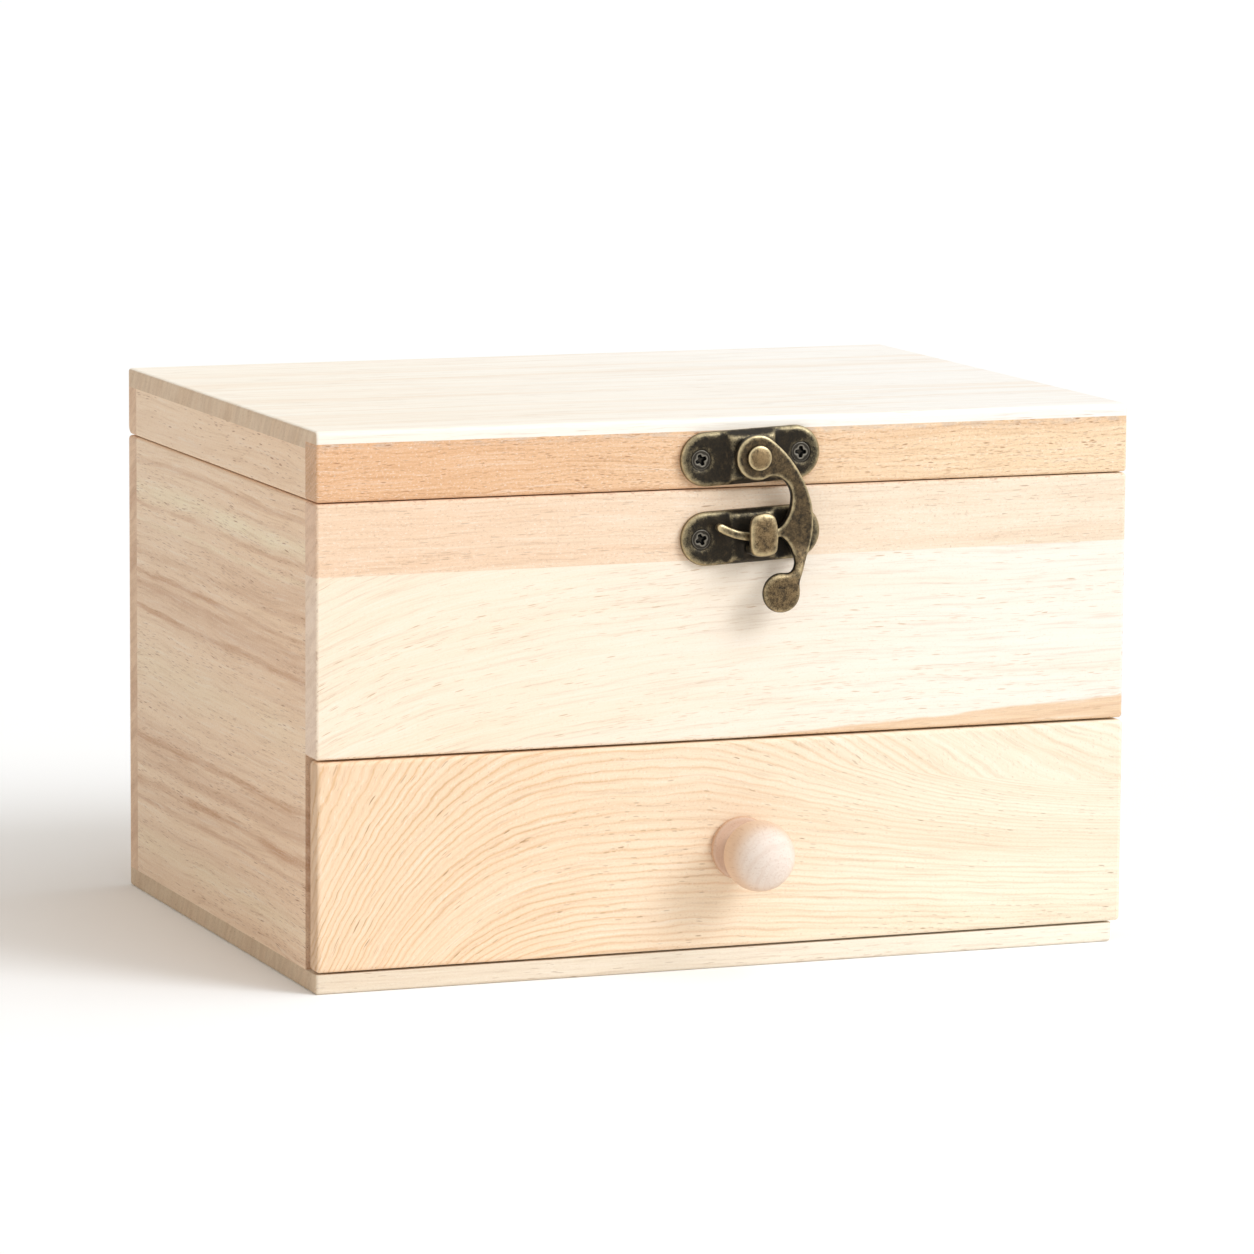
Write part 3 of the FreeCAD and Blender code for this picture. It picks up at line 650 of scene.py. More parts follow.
def scuffed_top(node):
    """A greyish scuffed line along a board's upper edge, drawn over its wood."""
    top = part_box(node)[1].z / MM

    def over(paint, wood, places):
        x, z = places["x"], places["z"]
        worn = paint.ease(paint.noise(x * 0.22, z * 0.7, 2.0, detail=3.0), 0.40, 0.60)
        line = paint.ease(z - top, -1.9, -0.5) * worn
        return paint.mix(wood, SCUFF, line * 0.5)

    return over


# ---- bronze

# Colours of dirt that also paints the shade in hollows, of darkened screw recesses, and of worn bare metal,
# in linear light.
GRIME_AND_SHADE = (0.008, 0.006, 0.005)
SCREW_RECESS_DARK = (0.004, 0.004, 0.004)
SCREW_WORN = (0.30, 0.27, 0.22)


def bronze(name, tones, grain=1.0):
    """Antique-bronze plating: dark, mottled, and rubbed where the piece stands out or is handled, with dirt
    and painted shade in its hollows and painted shade on its sideways faces.
    """
    paint = Paint(bpy.data.materials.new(name))
    x, y, z = paint.place()
    front = JOINTS["latch_swing"]["pos_m"][1] / MM
    relief = paint.relief()
    mottle = paint.noise(x * 0.7, y * 0.7, z * 0.7, detail=5.0, roughness=0.72)
    fine = paint.noise(x * 6.0, y * 6.0, z * 6.0, detail=3.0, roughness=0.7)
    # painted shade: faces turned sideways from the front get less bronze and less rubbed brass, partly as
    # wear that rubs the outward faces and partly as painted shade on the sides
    facing = paint.ease(abs(paint.normal()[1]), 0.15, 0.75)
    handled = paint.ease(front - y, 4.0, 7.6)
    edge = paint.ease(relief + (mottle - 0.5) * 0.40 + (fine - 0.5) * 0.3, 0.10, 0.50)
    edge = edge * (facing * 0.65 + 0.35)
    # darkening of the hollows: dirt, and painted shade standing in for the shade that falls there
    hollow_dirt_and_shade = paint.ease(relief, -0.05, -0.5)
    body = paint.ease(mottle * 0.5 + fine * 0.6, 0.40, 0.74) * facing * (handled * 1.5 + 0.12) * grain
    patches = paint.ease(mottle, 0.52, 0.72) * facing * 0.20
    body = paint.maths("MAXIMUM", body, patches)
    metal = paint.mix(tones.dark, tones.middle, body)
    metal = paint.mix(metal, tones.bright, edge * 0.9)
    # painted shade: the hollows are mixed towards near-black, partly as dirt and partly as painted shade
    metal = paint.mix(metal, GRIME_AND_SHADE, hollow_dirt_and_shade * 0.75)
    roughness = 0.44 - edge * 0.12 + (fine - 0.5) * 0.24
    return paint.finish(metal, roughness, fine * 0.6 + mottle * 0.4, 0.45, 0.08,
                        {"Metallic": 0.72 + edge * 0.2})


def plain_metal(name, tone, roughness):
    """Blackened or zinc-plated screw metal with fine turning marks, darkened in the recess."""
    paint = Paint(bpy.data.materials.new(name))
    x, y, z = paint.place()
    relief = paint.relief()
    fine = paint.noise(x * 5.0, y * 5.0, z * 5.0, detail=3.0, roughness=0.7)
    metal = paint.mix(tone, SCREW_WORN, paint.ease(relief + fine * 0.3, 0.25, 0.7) * 0.6)
    # darker in the cross recess
    metal = paint.mix(metal, SCREW_RECESS_DARK, paint.ease(relief, -0.1, -0.5))
    return paint.finish(metal, roughness + (fine - 0.5) * 0.2, fine, 0.2, 0.05, {"Metallic": 0.85})


# ---- mesh helpers

def put(name, data):
    """Put a mesh, a light or a camera into the scene."""
    made = bpy.data.objects.new(name, data)
    bpy.context.scene.collection.objects.link(made)
    return made


def new_piece(name, mesh, body, material, replaced):
    """Put a mesh into the scene as a piece that rides on a body and stands for a CAD node."""
    piece = put(name, mesh)
    mesh.materials.clear()
    mesh.materials.append(material)
    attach(piece, body)
    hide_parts(replaced)


def mesh_places(mesh):
    """The places of a mesh's vertices, one row each."""
    places = np.empty(len(mesh.vertices) * 3)
    mesh.vertices.foreach_get("co", places)
    return places.reshape(-1, 3)


def set_places(mesh, places):
    """Move a mesh's vertices."""
    mesh.vertices.foreach_set("co", places.ravel())
    mesh.update()


def neighbour_mean(mesh):
    """A function that averages a value of each vertex over the vertices joined to it."""
    edges = np.empty(len(mesh.edges) * 2, dtype=np.int64)
    mesh.edges.foreach_get("vertices", edges)
    first, second = edges.reshape(-1, 2).T
    count = len(mesh.vertices)
    degree = np.bincount(first, minlength=count) + np.bincount(second, minlength=count)

    def mean(values):
        columns = []
        for column in values.T:
            total = np.bincount(first, column[second], count) + np.bincount(second, column[first], count)
            columns.append(total / degree)
        return np.stack(columns, axis=1)

    return mean


def mark_relief(mesh, radius):
    """Store how far each vertex stands out of its surroundings, for wear and grime."""
    wide_rounds, even_rounds = 14, 2
    places = mesh_places(mesh)
    mean = neighbour_mean(mesh)
    blurred = places
    for _ in range(wide_rounds):
        blurred = mean(blurred)
    normals = np.empty(len(mesh.vertices) * 3)
    mesh.vertices.foreach_get("normal", normals)
    outwards = ((places - blurred) * normals.reshape(-1, 3)).sum(axis=1) / radius
    outwards = outwards[:, None]
    for _ in range(even_rounds):
        outwards = mean(outwards)
    layer = mesh.attributes.new("relief", "FLOAT", "POINT")
    layer.data.foreach_set("value", np.clip(outwards[:, 0], -1.0, 1.0))


def remeshed(node, voxel):
    """An even mesh of a CAD piece."""
    piece = put("blank", frame["nodes"][node].data.copy())
    even = piece.modifiers.new("Even", "REMESH")
    even.mode = "VOXEL"
    even.voxel_size = voxel
    bpy.context.view_layer.update()
    shaped = piece.evaluated_get(bpy.context.evaluated_depsgraph_get())
    mesh = bpy.data.meshes.new_from_object(shaped)
    bpy.data.objects.remove(piece)
    return mesh


def soften(mesh, rounds, weight=None):
    """Round the arrises of an even mesh; a weight of 0 to 1 for each vertex limits where."""
    pull = 0.6
    places = mesh_places(mesh)
    mean = neighbour_mean(mesh)
    strength = pull if weight is None else pull * weight[:, None]
    for _ in range(rounds):
        places = places + (mean(places) - places) * strength
    set_places(mesh, places)


def cast_mesh(node, voxel, rounds):
    """A CAD piece as a casting: an even mesh with rounded arrises."""
    mesh = remeshed(node, voxel)
    soften(mesh, rounds)
    return mesh


def finished(mesh, radius=0.3 * MM):
    """Mark the relief that wear and grime follow, and shade the mesh smooth."""
    mark_relief(mesh, radius)
    mesh.shade_smooth()
    return mesh


def latch_frame(latch):
    """From the flat-drawn latch, x right, y up and z outwards from its pivot, to the part."""
    pivot = Vector(JOINTS["latch_swing"]["pos_m"])
    return Matrix.Translation(pivot) @ TO_FRONT @ Matrix.Rotation(latch.tilt, 4, "Z")


def in_frame(places, matrix):
    """An array of points moved by a matrix."""
    turn = np.array(matrix.to_3x3())
    return places @ turn.T + np.array(matrix.translation)


def flat_places(mesh, latch):
    """The places of a mesh's vertices on the flat-drawn latch."""
    return in_frame(mesh_places(mesh), latch_frame(latch).inverted())


def step(values, low, high):
    """0 at low and 1 at high, smooth between and level beyond; low may be the larger."""
    share_of = np.clip((values - low) / (high - low), 0.0, 1.0)
    return share_of * share_of * (3 - 2 * share_of)


def lathe(name, profile, segments):
    """Turn a profile of (radius, height) points about Z; end points on the axis close it."""
    made = bmesh.new()
    rings = []
    for radius, height in profile:
        if radius < ON_AXIS:
            rings.append([made.verts.new((0, 0, height))])
            continue
        angles = [math.tau * index / segments for index in range(segments)]
        rings.append([made.verts.new((radius * math.cos(a), radius * math.sin(a), height)) for a in angles])
    for lower, upper in zip(rings, rings[1:]):
        for index in range(segments):
            following = (index + 1) % segments
            if len(lower) == 1:
                made.faces.new((lower[0], upper[following], upper[index]))
            elif len(upper) == 1:
                made.faces.new((lower[index], lower[following], upper[0]))
            else:
                made.faces.new((lower[index], lower[following], upper[following], upper[index]))
    bmesh.ops.recalc_face_normals(made, faces=made.faces)
    mesh = bpy.data.meshes.new(name)
    made.to_mesh(mesh)
    made.free()
    return mesh


def arc(centre, radius, start, end, count):
    """Points of a profile along an arc, angles in degrees from the radius direction."""
    angles = [math.radians(start + (end - start) * index / count) for index in range(count + 1)]
    return [(centre[0] + radius * math.cos(a), centre[1] + radius * math.sin(a)) for a in angles]


# ---- screws

@dataclass
class ScrewShape:
    """A screw along Z, the face of its head at z = 0. Only a pan head has a thickness in pan."""

    head_radius: float
    shank_radius: float
    reach: float
    dome: float = 0.0
    pan: float = 0.0


def screw_mesh(shape, turn, segments=72):
    """One screw with a cross recess and a thread."""
    head, shank = shape.head_radius, shape.shank_radius
    rim = 0.12 * MM
    face_rings, shank_rings = 26, 240
    foot = -shape.pan if shape.pan else shank - head
    profile = []
    for index in range(face_rings):
        radius = head * index / face_rings
        profile.append((radius, shape.dome * (1 - (radius / head) ** 2)))
    profile += arc((head - rim, -rim), rim, 90, 0, 4)
    profile += [(head, foot), (shank, foot)] if shape.pan else [(shank, foot - rim)]
    for index in range(1, shank_rings):
        profile.append((shank, foot - (shape.reach + foot) * (index / shank_rings)))
    profile.append((0.0, -shape.reach))
    mesh = lathe("screw", profile, segments)
    places = mesh_places(mesh)
    radius = np.hypot(places[:, 0], places[:, 1])
    bearing = np.arctan2(places[:, 1], places[:, 0])
    top = places[:, 2] > -rim * 0.5
    cut_cross(places, radius, bearing - turn, head, top)
    cut_thread(places, radius, bearing, shape, foot)
    set_places(mesh, places)
    return mesh


def cut_cross(places, radius, bearing, head, top):
    """Sink a cross with tapering arms into the head's face."""
    lengthwise = radius * np.maximum(abs(np.cos(bearing)), abs(np.sin(bearing)))
    sideways = radius * np.minimum(abs(np.cos(bearing)), abs(np.sin(bearing)))
    arm_reach = head * 0.62
    arm_width = head * (0.27 - 0.13 * lengthwise / arm_reach)
    inside = step(arm_width - sideways, -0.06 * MM, 0.10 * MM) * step(arm_reach - lengthwise, 0.0, 0.35 * MM)
    hub = step(head * 0.33 - radius, -0.05 * MM, 0.12 * MM)
    places[:, 2] -= np.where(top, np.maximum(inside, hub) * head * 0.42, 0.0)


def cut_thread(places, radius, bearing, shape, foot):
    """Taper the shank to its point and wind a thread round it."""
    shank = places[:, 2] < foot - 0.05 * MM
    down = np.clip((foot - places[:, 2]) / (foot + shape.reach), 0.0, 1.0)
    pitch = shape.shank_radius * 0.85
    phase = (places[:, 2] / pitch - bearing / math.tau) % 1.0
    ridge = np.abs(phase * 2 - 1) ** 3
    begin = step(down, 0.12, 0.22)
    core = 1.0 - 0.28 * begin + 0.26 * ridge * begin
    taper = 1.0 - step(down, 0.74, 1.0) * 0.9
    scale = np.where(shank & (radius > ON_AXIS), core * taper, 1.0)
    places[:, 0] *= scale
    places[:, 1] *= scale


def screw_group(name, shape, placings):
    """Several screws as one mesh, each at its own placing and turn."""
    first_turn, next_turn = 0.35, 1.13
    made = bmesh.new()
    for index, placing in enumerate(placings):
        mesh = screw_mesh(shape, first_turn + next_turn * index)
        mesh.transform(placing)
        made.from_mesh(mesh)
        bpy.data.meshes.remove(mesh)
    group = bpy.data.meshes.new(name)
    made.to_mesh(group)
    made.free()
    return finished(group, 0.16 * MM)


# ---- operators

class DRAWERBOX_OT_carcass(Operator):
    """Dress the base, side and back boards, the two front planks and the compartment floor"""

    bl_idname = "drawer_box.carcass"
    bl_label = "Carcass Boards"

    def execute(self, context):
        settings = context.scene.drawer_box
        wood = settings.carcass
        dress_boards(
            Board("right_side_board", wood, "yzx", straight, ring=0.2, spacing=6.0, band=0.7, seed=8.1),
            Board("back_board", wood, "xzy", rising, ring=0.2, spacing=6.0, band=0.6, seed=5.2),
            Board("base_board", settings.base, "xyz", straight, ring=0.15, spacing=5.0, band=0.4,
                  end=(0.86, 0.79, 0.72), seed=6.6),
            Board("front_rail", settings.rail, "xzy", straight, ring=0.14, spacing=3.0, band=0.5,
                  pores=0.35, deep=0.03, speckle=0.46, wander=2.0, torn=0.5,
                  end=(0.94, 0.92, 0.94), seed=3.1),
            Board("compartment_floor", settings.inner, "xyz", straight, ring=0.2, spacing=6.0, seed=9.4),
            Board("left_side_board", wood, "yzx", straight, ring=0.18, spacing=4.0, band=0.45, pores=0.80,
                  deep=0.08, pore_length=5.5, pore_pitch=0.36, speckle=0.36, extra=side_streaks(wood),
                  seed=2.3),
            Board("front_panel", settings.panel, "xzy", rising, ring=0.12, spacing=3.0, band=0.32,
                  pores=0.42, deep=0.05, pore_pitch=0.36, speckle=0.24, wander=2.5, torn=0.5,
                  end=(0.96, 0.92, 0.94), extra=heartwood_strip(settings.panel), seed=1.7),
        )
        return {"FINISHED"}


class DRAWERBOX_OT_lid(Operator):
    """Dress the boards of the lid"""

    bl_idname = "drawer_box.lid"
    bl_label = "Lid Boards"

    def execute(self, context):
        settings = context.scene.drawer_box
        wood = settings.carcass
        dress_boards(
            Board("lid_top_board", settings.lid_top, "xyz", straight, ring=0.14, spacing=6.0, band=0.36,
                  pores=0.12, deep=0.02, pore_length=9.0, speckle=0.09, wander=5.0,
                  end=(0.77, 0.65, 0.54), seed=4.4),
            Board("lid_back_board", wood, "xzy", straight, ring=0.2, spacing=5.0, band=0.6, seed=2.9),
            Board("lid_left_board", wood, "yzx", straight, ring=0.15, spacing=4.0, band=0.5, pores=0.4,
                  deep=0.08, speckle=0.28, seed=11.5),
            Board("lid_right_board", wood, "yzx", straight, ring=0.15, spacing=5.0, band=0.5, seed=12.5),
            Board("lid_front_board", settings.lid_front, "xzy", straight, ring=0.60, spacing=1.1, band=0.5,
                  pores=1.7, deep=0.30, pore_length=2.6, pore_pitch=0.34, speckle=0.50, wander=3.0,
                  ripple=2.2, end=(0.88, 0.93, 1.0), extra=scuffed_top("lid_front_board"), seed=7.7),
        )
        return {"FINISHED"}


class DRAWERBOX_OT_drawer(Operator):
    """Dress the drawer's front and its inner boards"""

    bl_idname = "drawer_box.drawer"
    bl_label = "Drawer Boards"

    def execute(self, context):
        settings = context.scene.drawer_box
        wood = settings.inner
        dress_boards(
            Board("drawer_front", settings.drawer_front, "xzy", fanned, ring=0.66, spacing=1.45, band=0.15,
                  pores=0.30, deep=0.03, pore_length=3.0, speckle=0.30, wander=0.7, ripple=1.3,
                  end=(0.86, 0.84, 0.83), seed=0.6),
            Board("drawer_right_side", wood, "yzx", straight, ring=0.3, spacing=5.0, seed=14.2),
            Board("drawer_left_side", wood, "yzx", straight, ring=0.3, spacing=5.5, seed=15.8),
            Board("drawer_back", wood, "xzy", straight, ring=0.3, spacing=6.0, seed=16.3),
            Board("drawer_bottom", wood, "xyz", straight, ring=0.25, spacing=8.0, wander=5.0, seed=17.1),
        )
        return {"FINISHED"}


class DRAWERBOX_OT_knob(Operator):
    """Turn the knob and its screw"""

    bl_idname = "drawer_box.knob"
    bl_label = "Knob"

    def execute(self, context):
        settings = context.scene.drawer_box
        self.knob(settings.knob)
        self.screw(settings.screws, settings.bronze)
        return {"FINISHED"}

    def knob(self, knob):
        low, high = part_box("knob")
        axis_x, axis_z, foot_y = (low.x + high.x) / 2, (low.z + high.z) / 2, high.y
        mesh = lathe("turned_knob", knob_profile(knob), 128)
        mesh.transform(Matrix.Translation((axis_x, foot_y, axis_z)) @ TO_FRONT)
        mesh.shade_smooth()
        material = turned_wood(knob, axis_x / MM, axis_z / MM, foot_y / MM)
        new_piece("turned_knob", mesh, "drawer", material, "knob")

    def screw(self, screws, tones):
        low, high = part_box("knob_screw")
        head_face = Matrix.Translation(((low.x + high.x) / 2, high.y, (low.z + high.z) / 2))
        shape = ScrewShape(screws.pan_head, screws.pan_shank, high.y - low.y, pan=screws.pan_depth)
        mesh = screw_group("knob_pan_screw", shape, [head_face @ TO_BACK])
        steel = plain_metal("zinc_steel", tones.steel, 0.32)
        new_piece("knob_pan_screw", mesh, "drawer", steel, "knob_screw")


def knob_profile(knob):
    """A rounded flange, a waisted neck and a ball, from the drawer front's face outwards."""
    neck_steps = 16
    edge = knob.flange_thickness / 2
    drop = math.sqrt(knob.ball_radius ** 2 - knob.neck_radius ** 2)
    neck_start, neck_end = knob.flange_thickness, knob.ball_centre - drop
    middle = (neck_start + neck_end) / 2
    profile = [(0.0, 0.0), (knob.neck_radius, 0.0)]
    profile += arc((knob.flange_radius - edge, edge), edge, -90, 90, 14)
    for index in range(neck_steps + 1):
        height = neck_start + (neck_end - neck_start) * index / neck_steps
        bow = ((height - middle) / (neck_end - middle)) ** 2
        profile.append((knob.waist_radius + (knob.neck_radius - knob.waist_radius) * bow, height))
    start = math.degrees(math.atan2(-drop, knob.neck_radius))
    profile += arc((0.0, knob.ball_centre), knob.ball_radius, start + 2, 88, 64)
    profile.append((0.0, knob.ball_centre + knob.ball_radius))
    return profile


def turned_wood(knob, axis_x, axis_z, foot_y):
    """Pale turned wood, its rings cut across by the ball's face, with faint tool marks, painted shade
    darkening its foot and painted warm bounce light, with its side grain, on its sides.
    """
    paint = Paint(bpy.data.materials.new("turned_knob_wood"))
    x, y, z = paint.place()
    heart_right, heart_down = 2.5, 4.0
    side = x - (axis_x + heart_right)
    rise = z - (axis_z - heart_down)
    warp = paint.noise(x * 0.14, y * 0.05, z * 0.14, detail=3.0) - 0.5
    away = (side * side + rise * rise) ** 0.5 + warp * 5.0
    rings = paint.noise(away * 1.6, y * 0.05, 2.0, detail=4.0)
    fibre = paint.noise(x * 2.4, y * 0.25, z * 2.4, detail=3.0)
    wood = paint.mix(knob.pale, knob.warm, paint.ease(rings, 0.42, 0.70) * 0.28)
    # painted light: warmer round the sides, partly side grain and partly painted warm bounce light from the
    # drawer front
    side_grain_and_painted_bounce = paint.ease(abs(paint.normal()[1]), 0.80, 0.25)
    wood = paint.mix(wood, knob.side, side_grain_and_painted_bounce * 0.85)
    # painted shade: darker towards the foot, standing in for the shade under the ball
    wood = paint.mix(wood, knob.foot, paint.ease(foot_y - y, 6.0, 2.0) * 0.65)
    wood = paint.mix(wood, TURNED_FIBRE, paint.ease(fibre, 0.50, 0.8) * 0.40, "MULTIPLY")
    marks = paint.noise(y * 2.2, 0.0, 0.0, detail=2.0)
    return paint.finish(wood, 0.55 + fibre * 0.15, fibre * 0.5 + marks * 0.5, 0.3, 0.1,
                        {"Specular IOR Level": 0.3})


class DRAWERBOX_OT_latch_plates(Operator):
    """Cast the two latch plates, the lower one with its keeper"""

    bl_idname = "drawer_box.latch_plates"
    bl_label = "Latch Plates and Keeper"

    def execute(self, context):
        settings = context.scene.drawer_box
        latch = settings.latch
        material = bronze("plate_bronze", settings.bronze)
        upper, lower = self.plate("latch_plate", latch), self.plate("keeper_plate", latch)
        self.round_keeper(lower, latch)
        for name, mesh, body, node in (("latch_top_plate", upper, "lid", "latch_plate"),
                                       ("latch_keeper", lower, "box", "keeper_plate")):
            new_piece(name, finished(mesh, latch.plate_wear), body, material, node)
        return {"FINISHED"}

    def plate(self, node, latch):
        """A plate whose raised middle flows into its flats. Heights are above the box's front."""
        flat_low, middle_low = 1.2 * MM, 2.6 * MM
        middle_high, keeper_low = 3.8 * MM, 4.4 * MM
        plate = cast_mesh(node, latch.voxel, latch.plate_rounds)
        height = flat_places(plate, latch)[:, 2]
        raised = step(height, flat_low, middle_low) * step(height, keeper_low, middle_high)
        soften(plate, latch.raised_rounds, raised)
        return plate

    def round_keeper(self, plate, latch):
        """Round the block that stands on the lower plate, draw in its corners and dome its face."""
        foot_low, foot_high = 3.4 * MM, 5.0 * MM
        face_low, face_high = 6.8 * MM, 7.6 * MM
        standing = step(flat_places(plate, latch)[:, 2], foot_low, foot_high)
        soften(plate, latch.keeper_rounds, standing)
        flat = flat_places(plate, latch)
        block = flat[standing > 0.99, :2]
        middle, half = block.mean(axis=0), np.ptp(block, axis=0) / 2
        share_out = np.clip(abs(flat[:, :2] - middle) / half, 0.0, 1.0) ** 2
        corner = 1.0 - latch.keeper_corner * share_out.prod(axis=1)
        scale = 1.0 + ((1.0 + latch.keeper_spread) * corner - 1.0) * standing
        flat[:, :2] = middle + (flat[:, :2] - middle) * scale[:, None]
        face = step(flat[:, 2], face_low, face_high)
        flat[:, 2] += latch.keeper_dome * (1.0 - share_out.sum(axis=1) / 2) * face
        set_places(plate, in_frame(flat, latch_frame(latch)))


class DRAWERBOX_OT_latch_hook(Operator):
    """Cast the swinging hook and its rivet"""

    bl_idname = "drawer_box.latch_hook"
    bl_label = "Latch Hook"

    def execute(self, context):
        settings = context.scene.drawer_box
        self.hook(settings.latch, settings.bronze)
        self.rivet(settings.latch, settings.bronze)
        return {"FINISHED"}

    def hook(self, latch, tones):
        """The hook, its tail bent away from the box and its ball rounder than the rest."""
        mesh = cast_mesh("latch_hook", latch.voxel, latch.hook_rounds)
        down = -flat_places(mesh, latch)[:, 1]
        soften(mesh, latch.ball_rounds, step(down, latch.ball_start, latch.ball_full))
        flat = flat_places(mesh, latch)
        flat[:, 2] += latch.tail_lift * step(down, latch.tail_start, latch.tail_end)
        set_places(mesh, in_frame(flat, latch_frame(latch)))
        material = bronze("hook_bronze", tones, grain=0.75)
        new_piece("swing_hook", finished(mesh), "hook", material, "latch_hook")

    def rivet(self, latch, tones):
        """The rivet: a shank through plate and eye, and a low dome with a rounded rim."""
        crown_rings, fullness = 13, 2.2
        undercut = 0.15 * MM
        low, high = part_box("latch_pivot")
        depth = high.y - low.y
        neck = depth - latch.rivet_rise
        head, shank, rim = latch.rivet_head, latch.rivet_shank, latch.rivet_rim
        profile = [(0.0, 0.0), (shank, 0.0), (shank, neck), (head - undercut, neck)]
        profile += arc((head - rim, neck + rim), rim, -60, 45, 8)
        crown_radius, crown_height = profile[-1]
        for index in range(1, crown_rings):
            radius = crown_radius * (1 - index / crown_rings)
            fall = (depth - crown_height) * (radius / crown_radius) ** fullness
            profile.append((radius, depth - fall))
        profile.append((0.0, depth))
        mesh = lathe("pivot_rivet", profile, 72)
        mesh.transform(latch_frame(latch))
        material = bronze("rivet_bronze", tones, grain=1.4)
        new_piece("pivot_rivet", finished(mesh), "lid", material, "latch_pivot")


class DRAWERBOX_OT_latch_screws(Operator):
    """Drive the four screws of the latch plates"""

    bl_idname = "drawer_box.latch_screws"
    bl_label = "Latch Screws"

    def execute(self, context):
        settings = context.scene.drawer_box
        place = latch_frame(settings.latch)
        black = plain_metal("blackened_steel", settings.bronze.screw, 0.42)
        screws = settings.screws
        shape = ScrewShape(screws.head, screws.shank, screws.reach, dome=screws.dome)
        pairs = [("plate_screws", "lid", "latch_plate_screws", screws.upper_shift, 0.0),
                 ("keeper_plate_screws", "box", "keeper_screws", screws.lower_shift, screws.lower_drop)]
        for name, body, replaced, shift, drop in pairs:
            spots = [(shift + side * screws.spacing / 2, -drop, screws.seat) for side in (-1, 1)]
            placings = [place @ Matrix.Translation(spot) for spot in spots]
            new_piece(name, screw_group(name, shape, placings), body, black, replaced)
        return {"FINISHED"}


class DRAWERBOX_OT_hinges(Operator):
    """Finish the two stop hinges, their pins and their screws"""

    bl_idname = "drawer_box.hinges"
    bl_label = "Hinges"

    def execute(self, context):
        settings = context.scene.drawer_box
        latch, screws = settings.latch, settings.screws
        plating = bronze("hinge_bronze", settings.bronze)
        for name, body, node, mesh_step in (
                ("hinge_body_leaves", "box", "body_hinge_leaves", latch.voxel),
                ("hinge_lid_leaves", "lid", "lid_hinge_leaves", latch.voxel),
                ("hinge_pin_pair", "box", "hinge_pins", latch.voxel * latch.pin_step)):
            mesh = finished(cast_mesh(node, mesh_step, latch.hinge_rounds))
            new_piece(name, mesh, body, plating, node)
        shape = ScrewShape(screws.hinge_head, screws.hinge_shank, screws.hinge_reach, dome=screws.dome)
        black = plain_metal("hinge_screw_steel", settings.bronze.screw, 0.42)
        seam = JOINTS["lid_hinge"]["pos_m"][2]
        for name, body, replaced, side in (("hinge_box_screws", "box", "body_hinge_screws", -1),
                                           ("hinge_lid_screws", "lid", "lid_hinge_screws", 1)):
            low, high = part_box(replaced)
            outer = high.x - screws.hinge_head
            inner = outer - screws.hinge_spacing
            height = seam + side * screws.hinge_offset
            placings = [Matrix.Translation((x, high.y, height)) @ TO_BACK
                        for x in (-outer, -inner, inner, outer)]
            new_piece(name, screw_group(name, shape, placings), body, black, replaced)
        return {"FINISHED"}


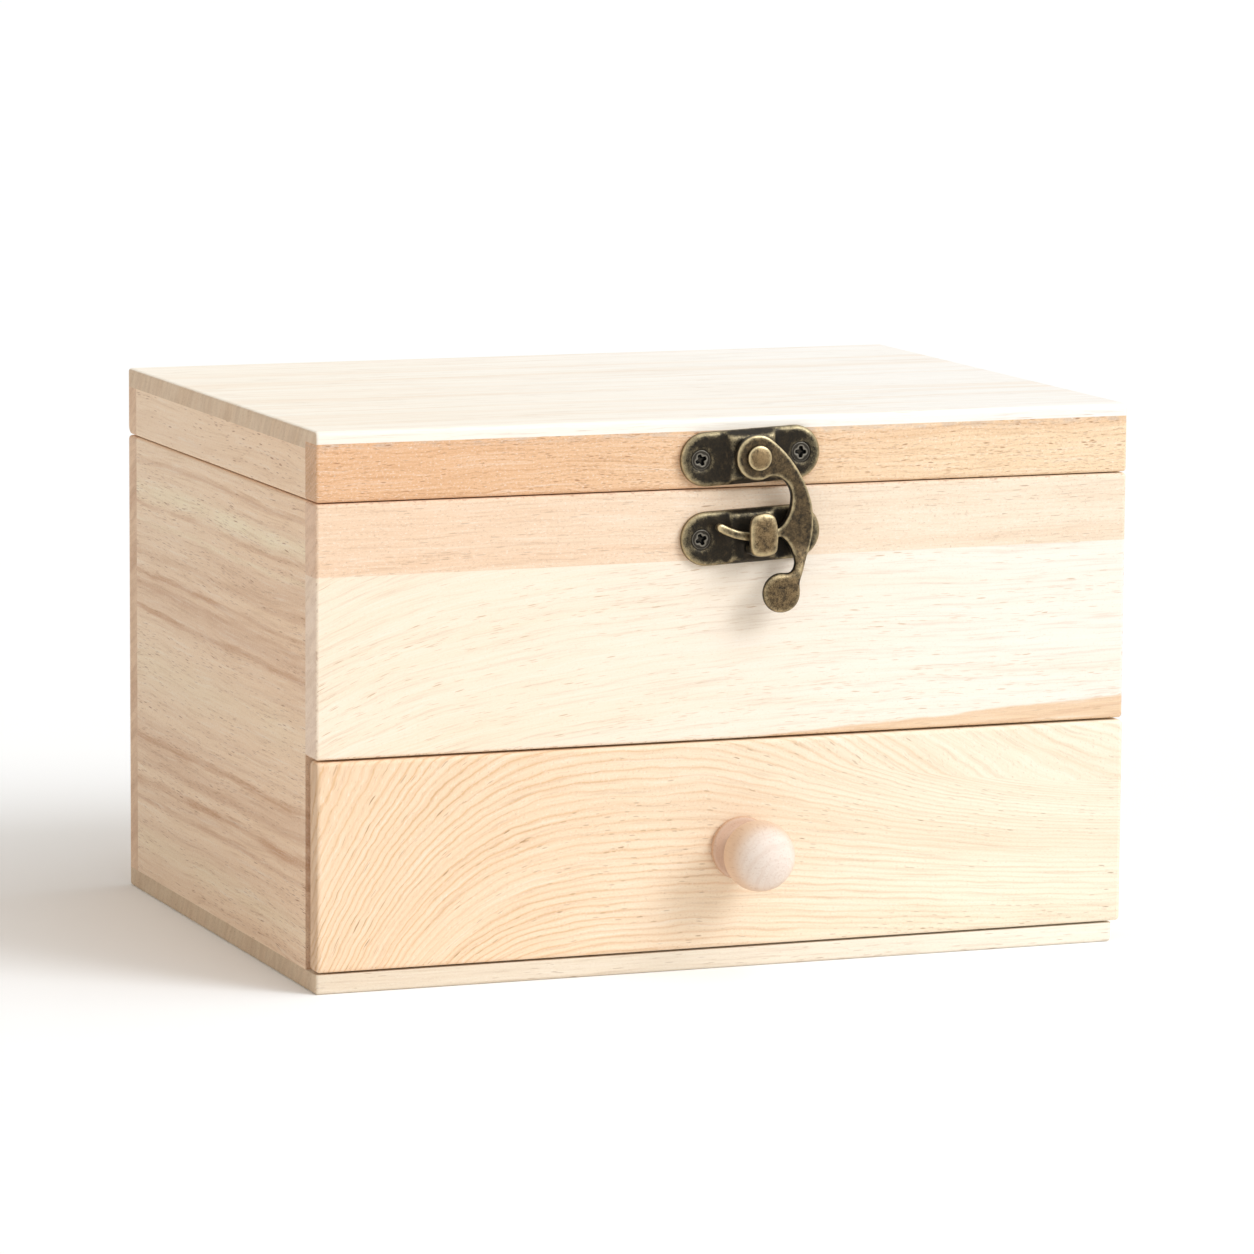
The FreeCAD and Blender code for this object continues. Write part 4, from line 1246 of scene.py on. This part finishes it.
class DRAWERBOX_OT_studio(Operator):
    """Set up the white floor, the light and the camera"""

    bl_idname = "drawer_box.studio"
    bl_label = "Studio"

    def execute(self, context):
        studio = context.scene.drawer_box.studio
        scene = context.scene
        scene.view_settings.view_transform = "Standard"
        self.floor(studio)
        self.sky(scene, studio)
        tint = studio.lamp_tint
        self.lamp("key_light", studio.key, studio.key_size, studio.key_from, tint)
        self.lamp("softbox", studio.softbox, studio.softbox_size, studio.softbox_from, tint)
        self.lamp("pale_card", studio.card, studio.card_size, studio.card_from, studio.sky_tint)
        self.camera(scene, studio)
        return {"FINISHED"}

    def lamp(self, name, strength, size, towards, tint):
        light = bpy.data.lights.new(name, "SUN")
        light.energy = strength
        light.angle = size
        light.color = tint
        put(name, light).rotation_euler = Vector(towards).to_track_quat("Z", "Y").to_euler()

    def floor(self, studio):
        radii = (0.0, 0.5, 3.0, 14.0)
        mesh = lathe("floor", [(radius, 0.0) for radius in radii], 96)
        floor = put("floor", mesh)
        paint = Paint(bpy.data.materials.new("matt_white_floor"))
        soft = paint.noise(*[term * 0.002 for term in paint.place()], detail=2.0)
        tone = paint.mix(studio.floor, studio.shown_floor, seen_directly(paint))
        tone = paint.mix(tone, (0.99, 0.99, 0.99), soft * 0.3, "MULTIPLY")
        shader = paint.add("ShaderNodeBsdfPrincipled", inputs={
            "Base Color": tone, "Roughness": 0.9, "Specular IOR Level": 0.0})
        mesh.materials.append(paint.surface(shader))

    def sky(self, scene, studio):
        scene.world = bpy.data.worlds.new("studio")
        paint = Paint(scene.world)
        shown = seen_directly(paint)
        strength = studio.sky + shown * (1.0 - studio.sky)
        tone = paint.mix(studio.sky_tint, studio.shown_floor, shown)
        sky = paint.add("ShaderNodeBackground", inputs={"Color": tone, "Strength": strength})
        paint.add("ShaderNodeOutputWorld", inputs={"Surface": paint.out(sky)})

    def camera(self, scene, studio):
        camera = put("camera", bpy.data.cameras.new("camera"))
        camera.data.lens = studio.lens
        camera.data.sensor_width = 36.0
        camera.data.clip_start = 0.05
        azimuth, elevation = studio.azimuth, studio.elevation
        backwards = Vector((math.sin(azimuth) * math.cos(elevation),
                            -math.cos(azimuth) * math.cos(elevation), math.sin(elevation)))
        across = (-backwards).cross(Vector((0, 0, 1))).normalized()
        down = (-backwards).cross(across)
        turned = math.cos(studio.roll) * across + math.sin(studio.roll) * down
        lower = math.cos(studio.roll) * down - math.sin(studio.roll) * across
        columns = Matrix((turned, -lower, backwards)).transposed()
        camera.matrix_world = Matrix.Translation(Vector(studio.camera)) @ columns.to_4x4()
        scene.camera = camera


def seen_directly(paint):
    """1 for what the camera, metal and glass see, 0 for the light that falls on the box."""
    path = paint.add("ShaderNodeLightPath")
    direct = paint.maths("MAXIMUM", paint.out(path, "Is Camera Ray"), paint.out(path, "Is Glossy Ray"))
    return paint.maths("MAXIMUM", direct, paint.out(path, "Is Transmission Ray"))


# ---- panel and registration

OPERATORS = (
    DRAWERBOX_OT_carcass, DRAWERBOX_OT_lid, DRAWERBOX_OT_drawer, DRAWERBOX_OT_knob,
    DRAWERBOX_OT_latch_plates, DRAWERBOX_OT_latch_hook, DRAWERBOX_OT_latch_screws,
    DRAWERBOX_OT_hinges, DRAWERBOX_OT_studio,
)


class DRAWERBOX_PT_sidebar(Panel):
    """Lists the steps that dress the box"""

    bl_idname = "DRAWERBOX_PT_sidebar"
    bl_label = "Drawer Box"
    bl_space_type = "VIEW_3D"
    bl_region_type = "UI"
    bl_category = "Drawer Box"

    def draw(self, context):
        for operator in OPERATORS:
            self.layout.operator(operator.bl_idname)


CLASSES = (
    LidTopWood, LidFrontWood, RailWood, PanelWood, DrawerFrontWood, CarcassWood, BaseWood, InnerWood,
    KnobSettings, LatchSettings, ScrewSettings, BronzeSettings, StudioSettings, DrawerBoxSettings,
    *OPERATORS, DRAWERBOX_PT_sidebar,
)


def register():
    for made in CLASSES:
        bpy.utils.register_class(made)
    bpy.types.Scene.drawer_box = PointerProperty(type=DrawerBoxSettings)


def unregister():
    del bpy.types.Scene.drawer_box
    for made in reversed(CLASSES):
        bpy.utils.unregister_class(made)


def main():
    register()
    bpy.ops.drawer_box.carcass()
    bpy.ops.drawer_box.lid()
    bpy.ops.drawer_box.drawer()
    bpy.ops.drawer_box.knob()
    bpy.ops.drawer_box.latch_plates()
    bpy.ops.drawer_box.latch_hook()
    bpy.ops.drawer_box.latch_screws()
    bpy.ops.drawer_box.hinges()
    bpy.ops.drawer_box.studio()


if __name__ == "__main__":
    main()
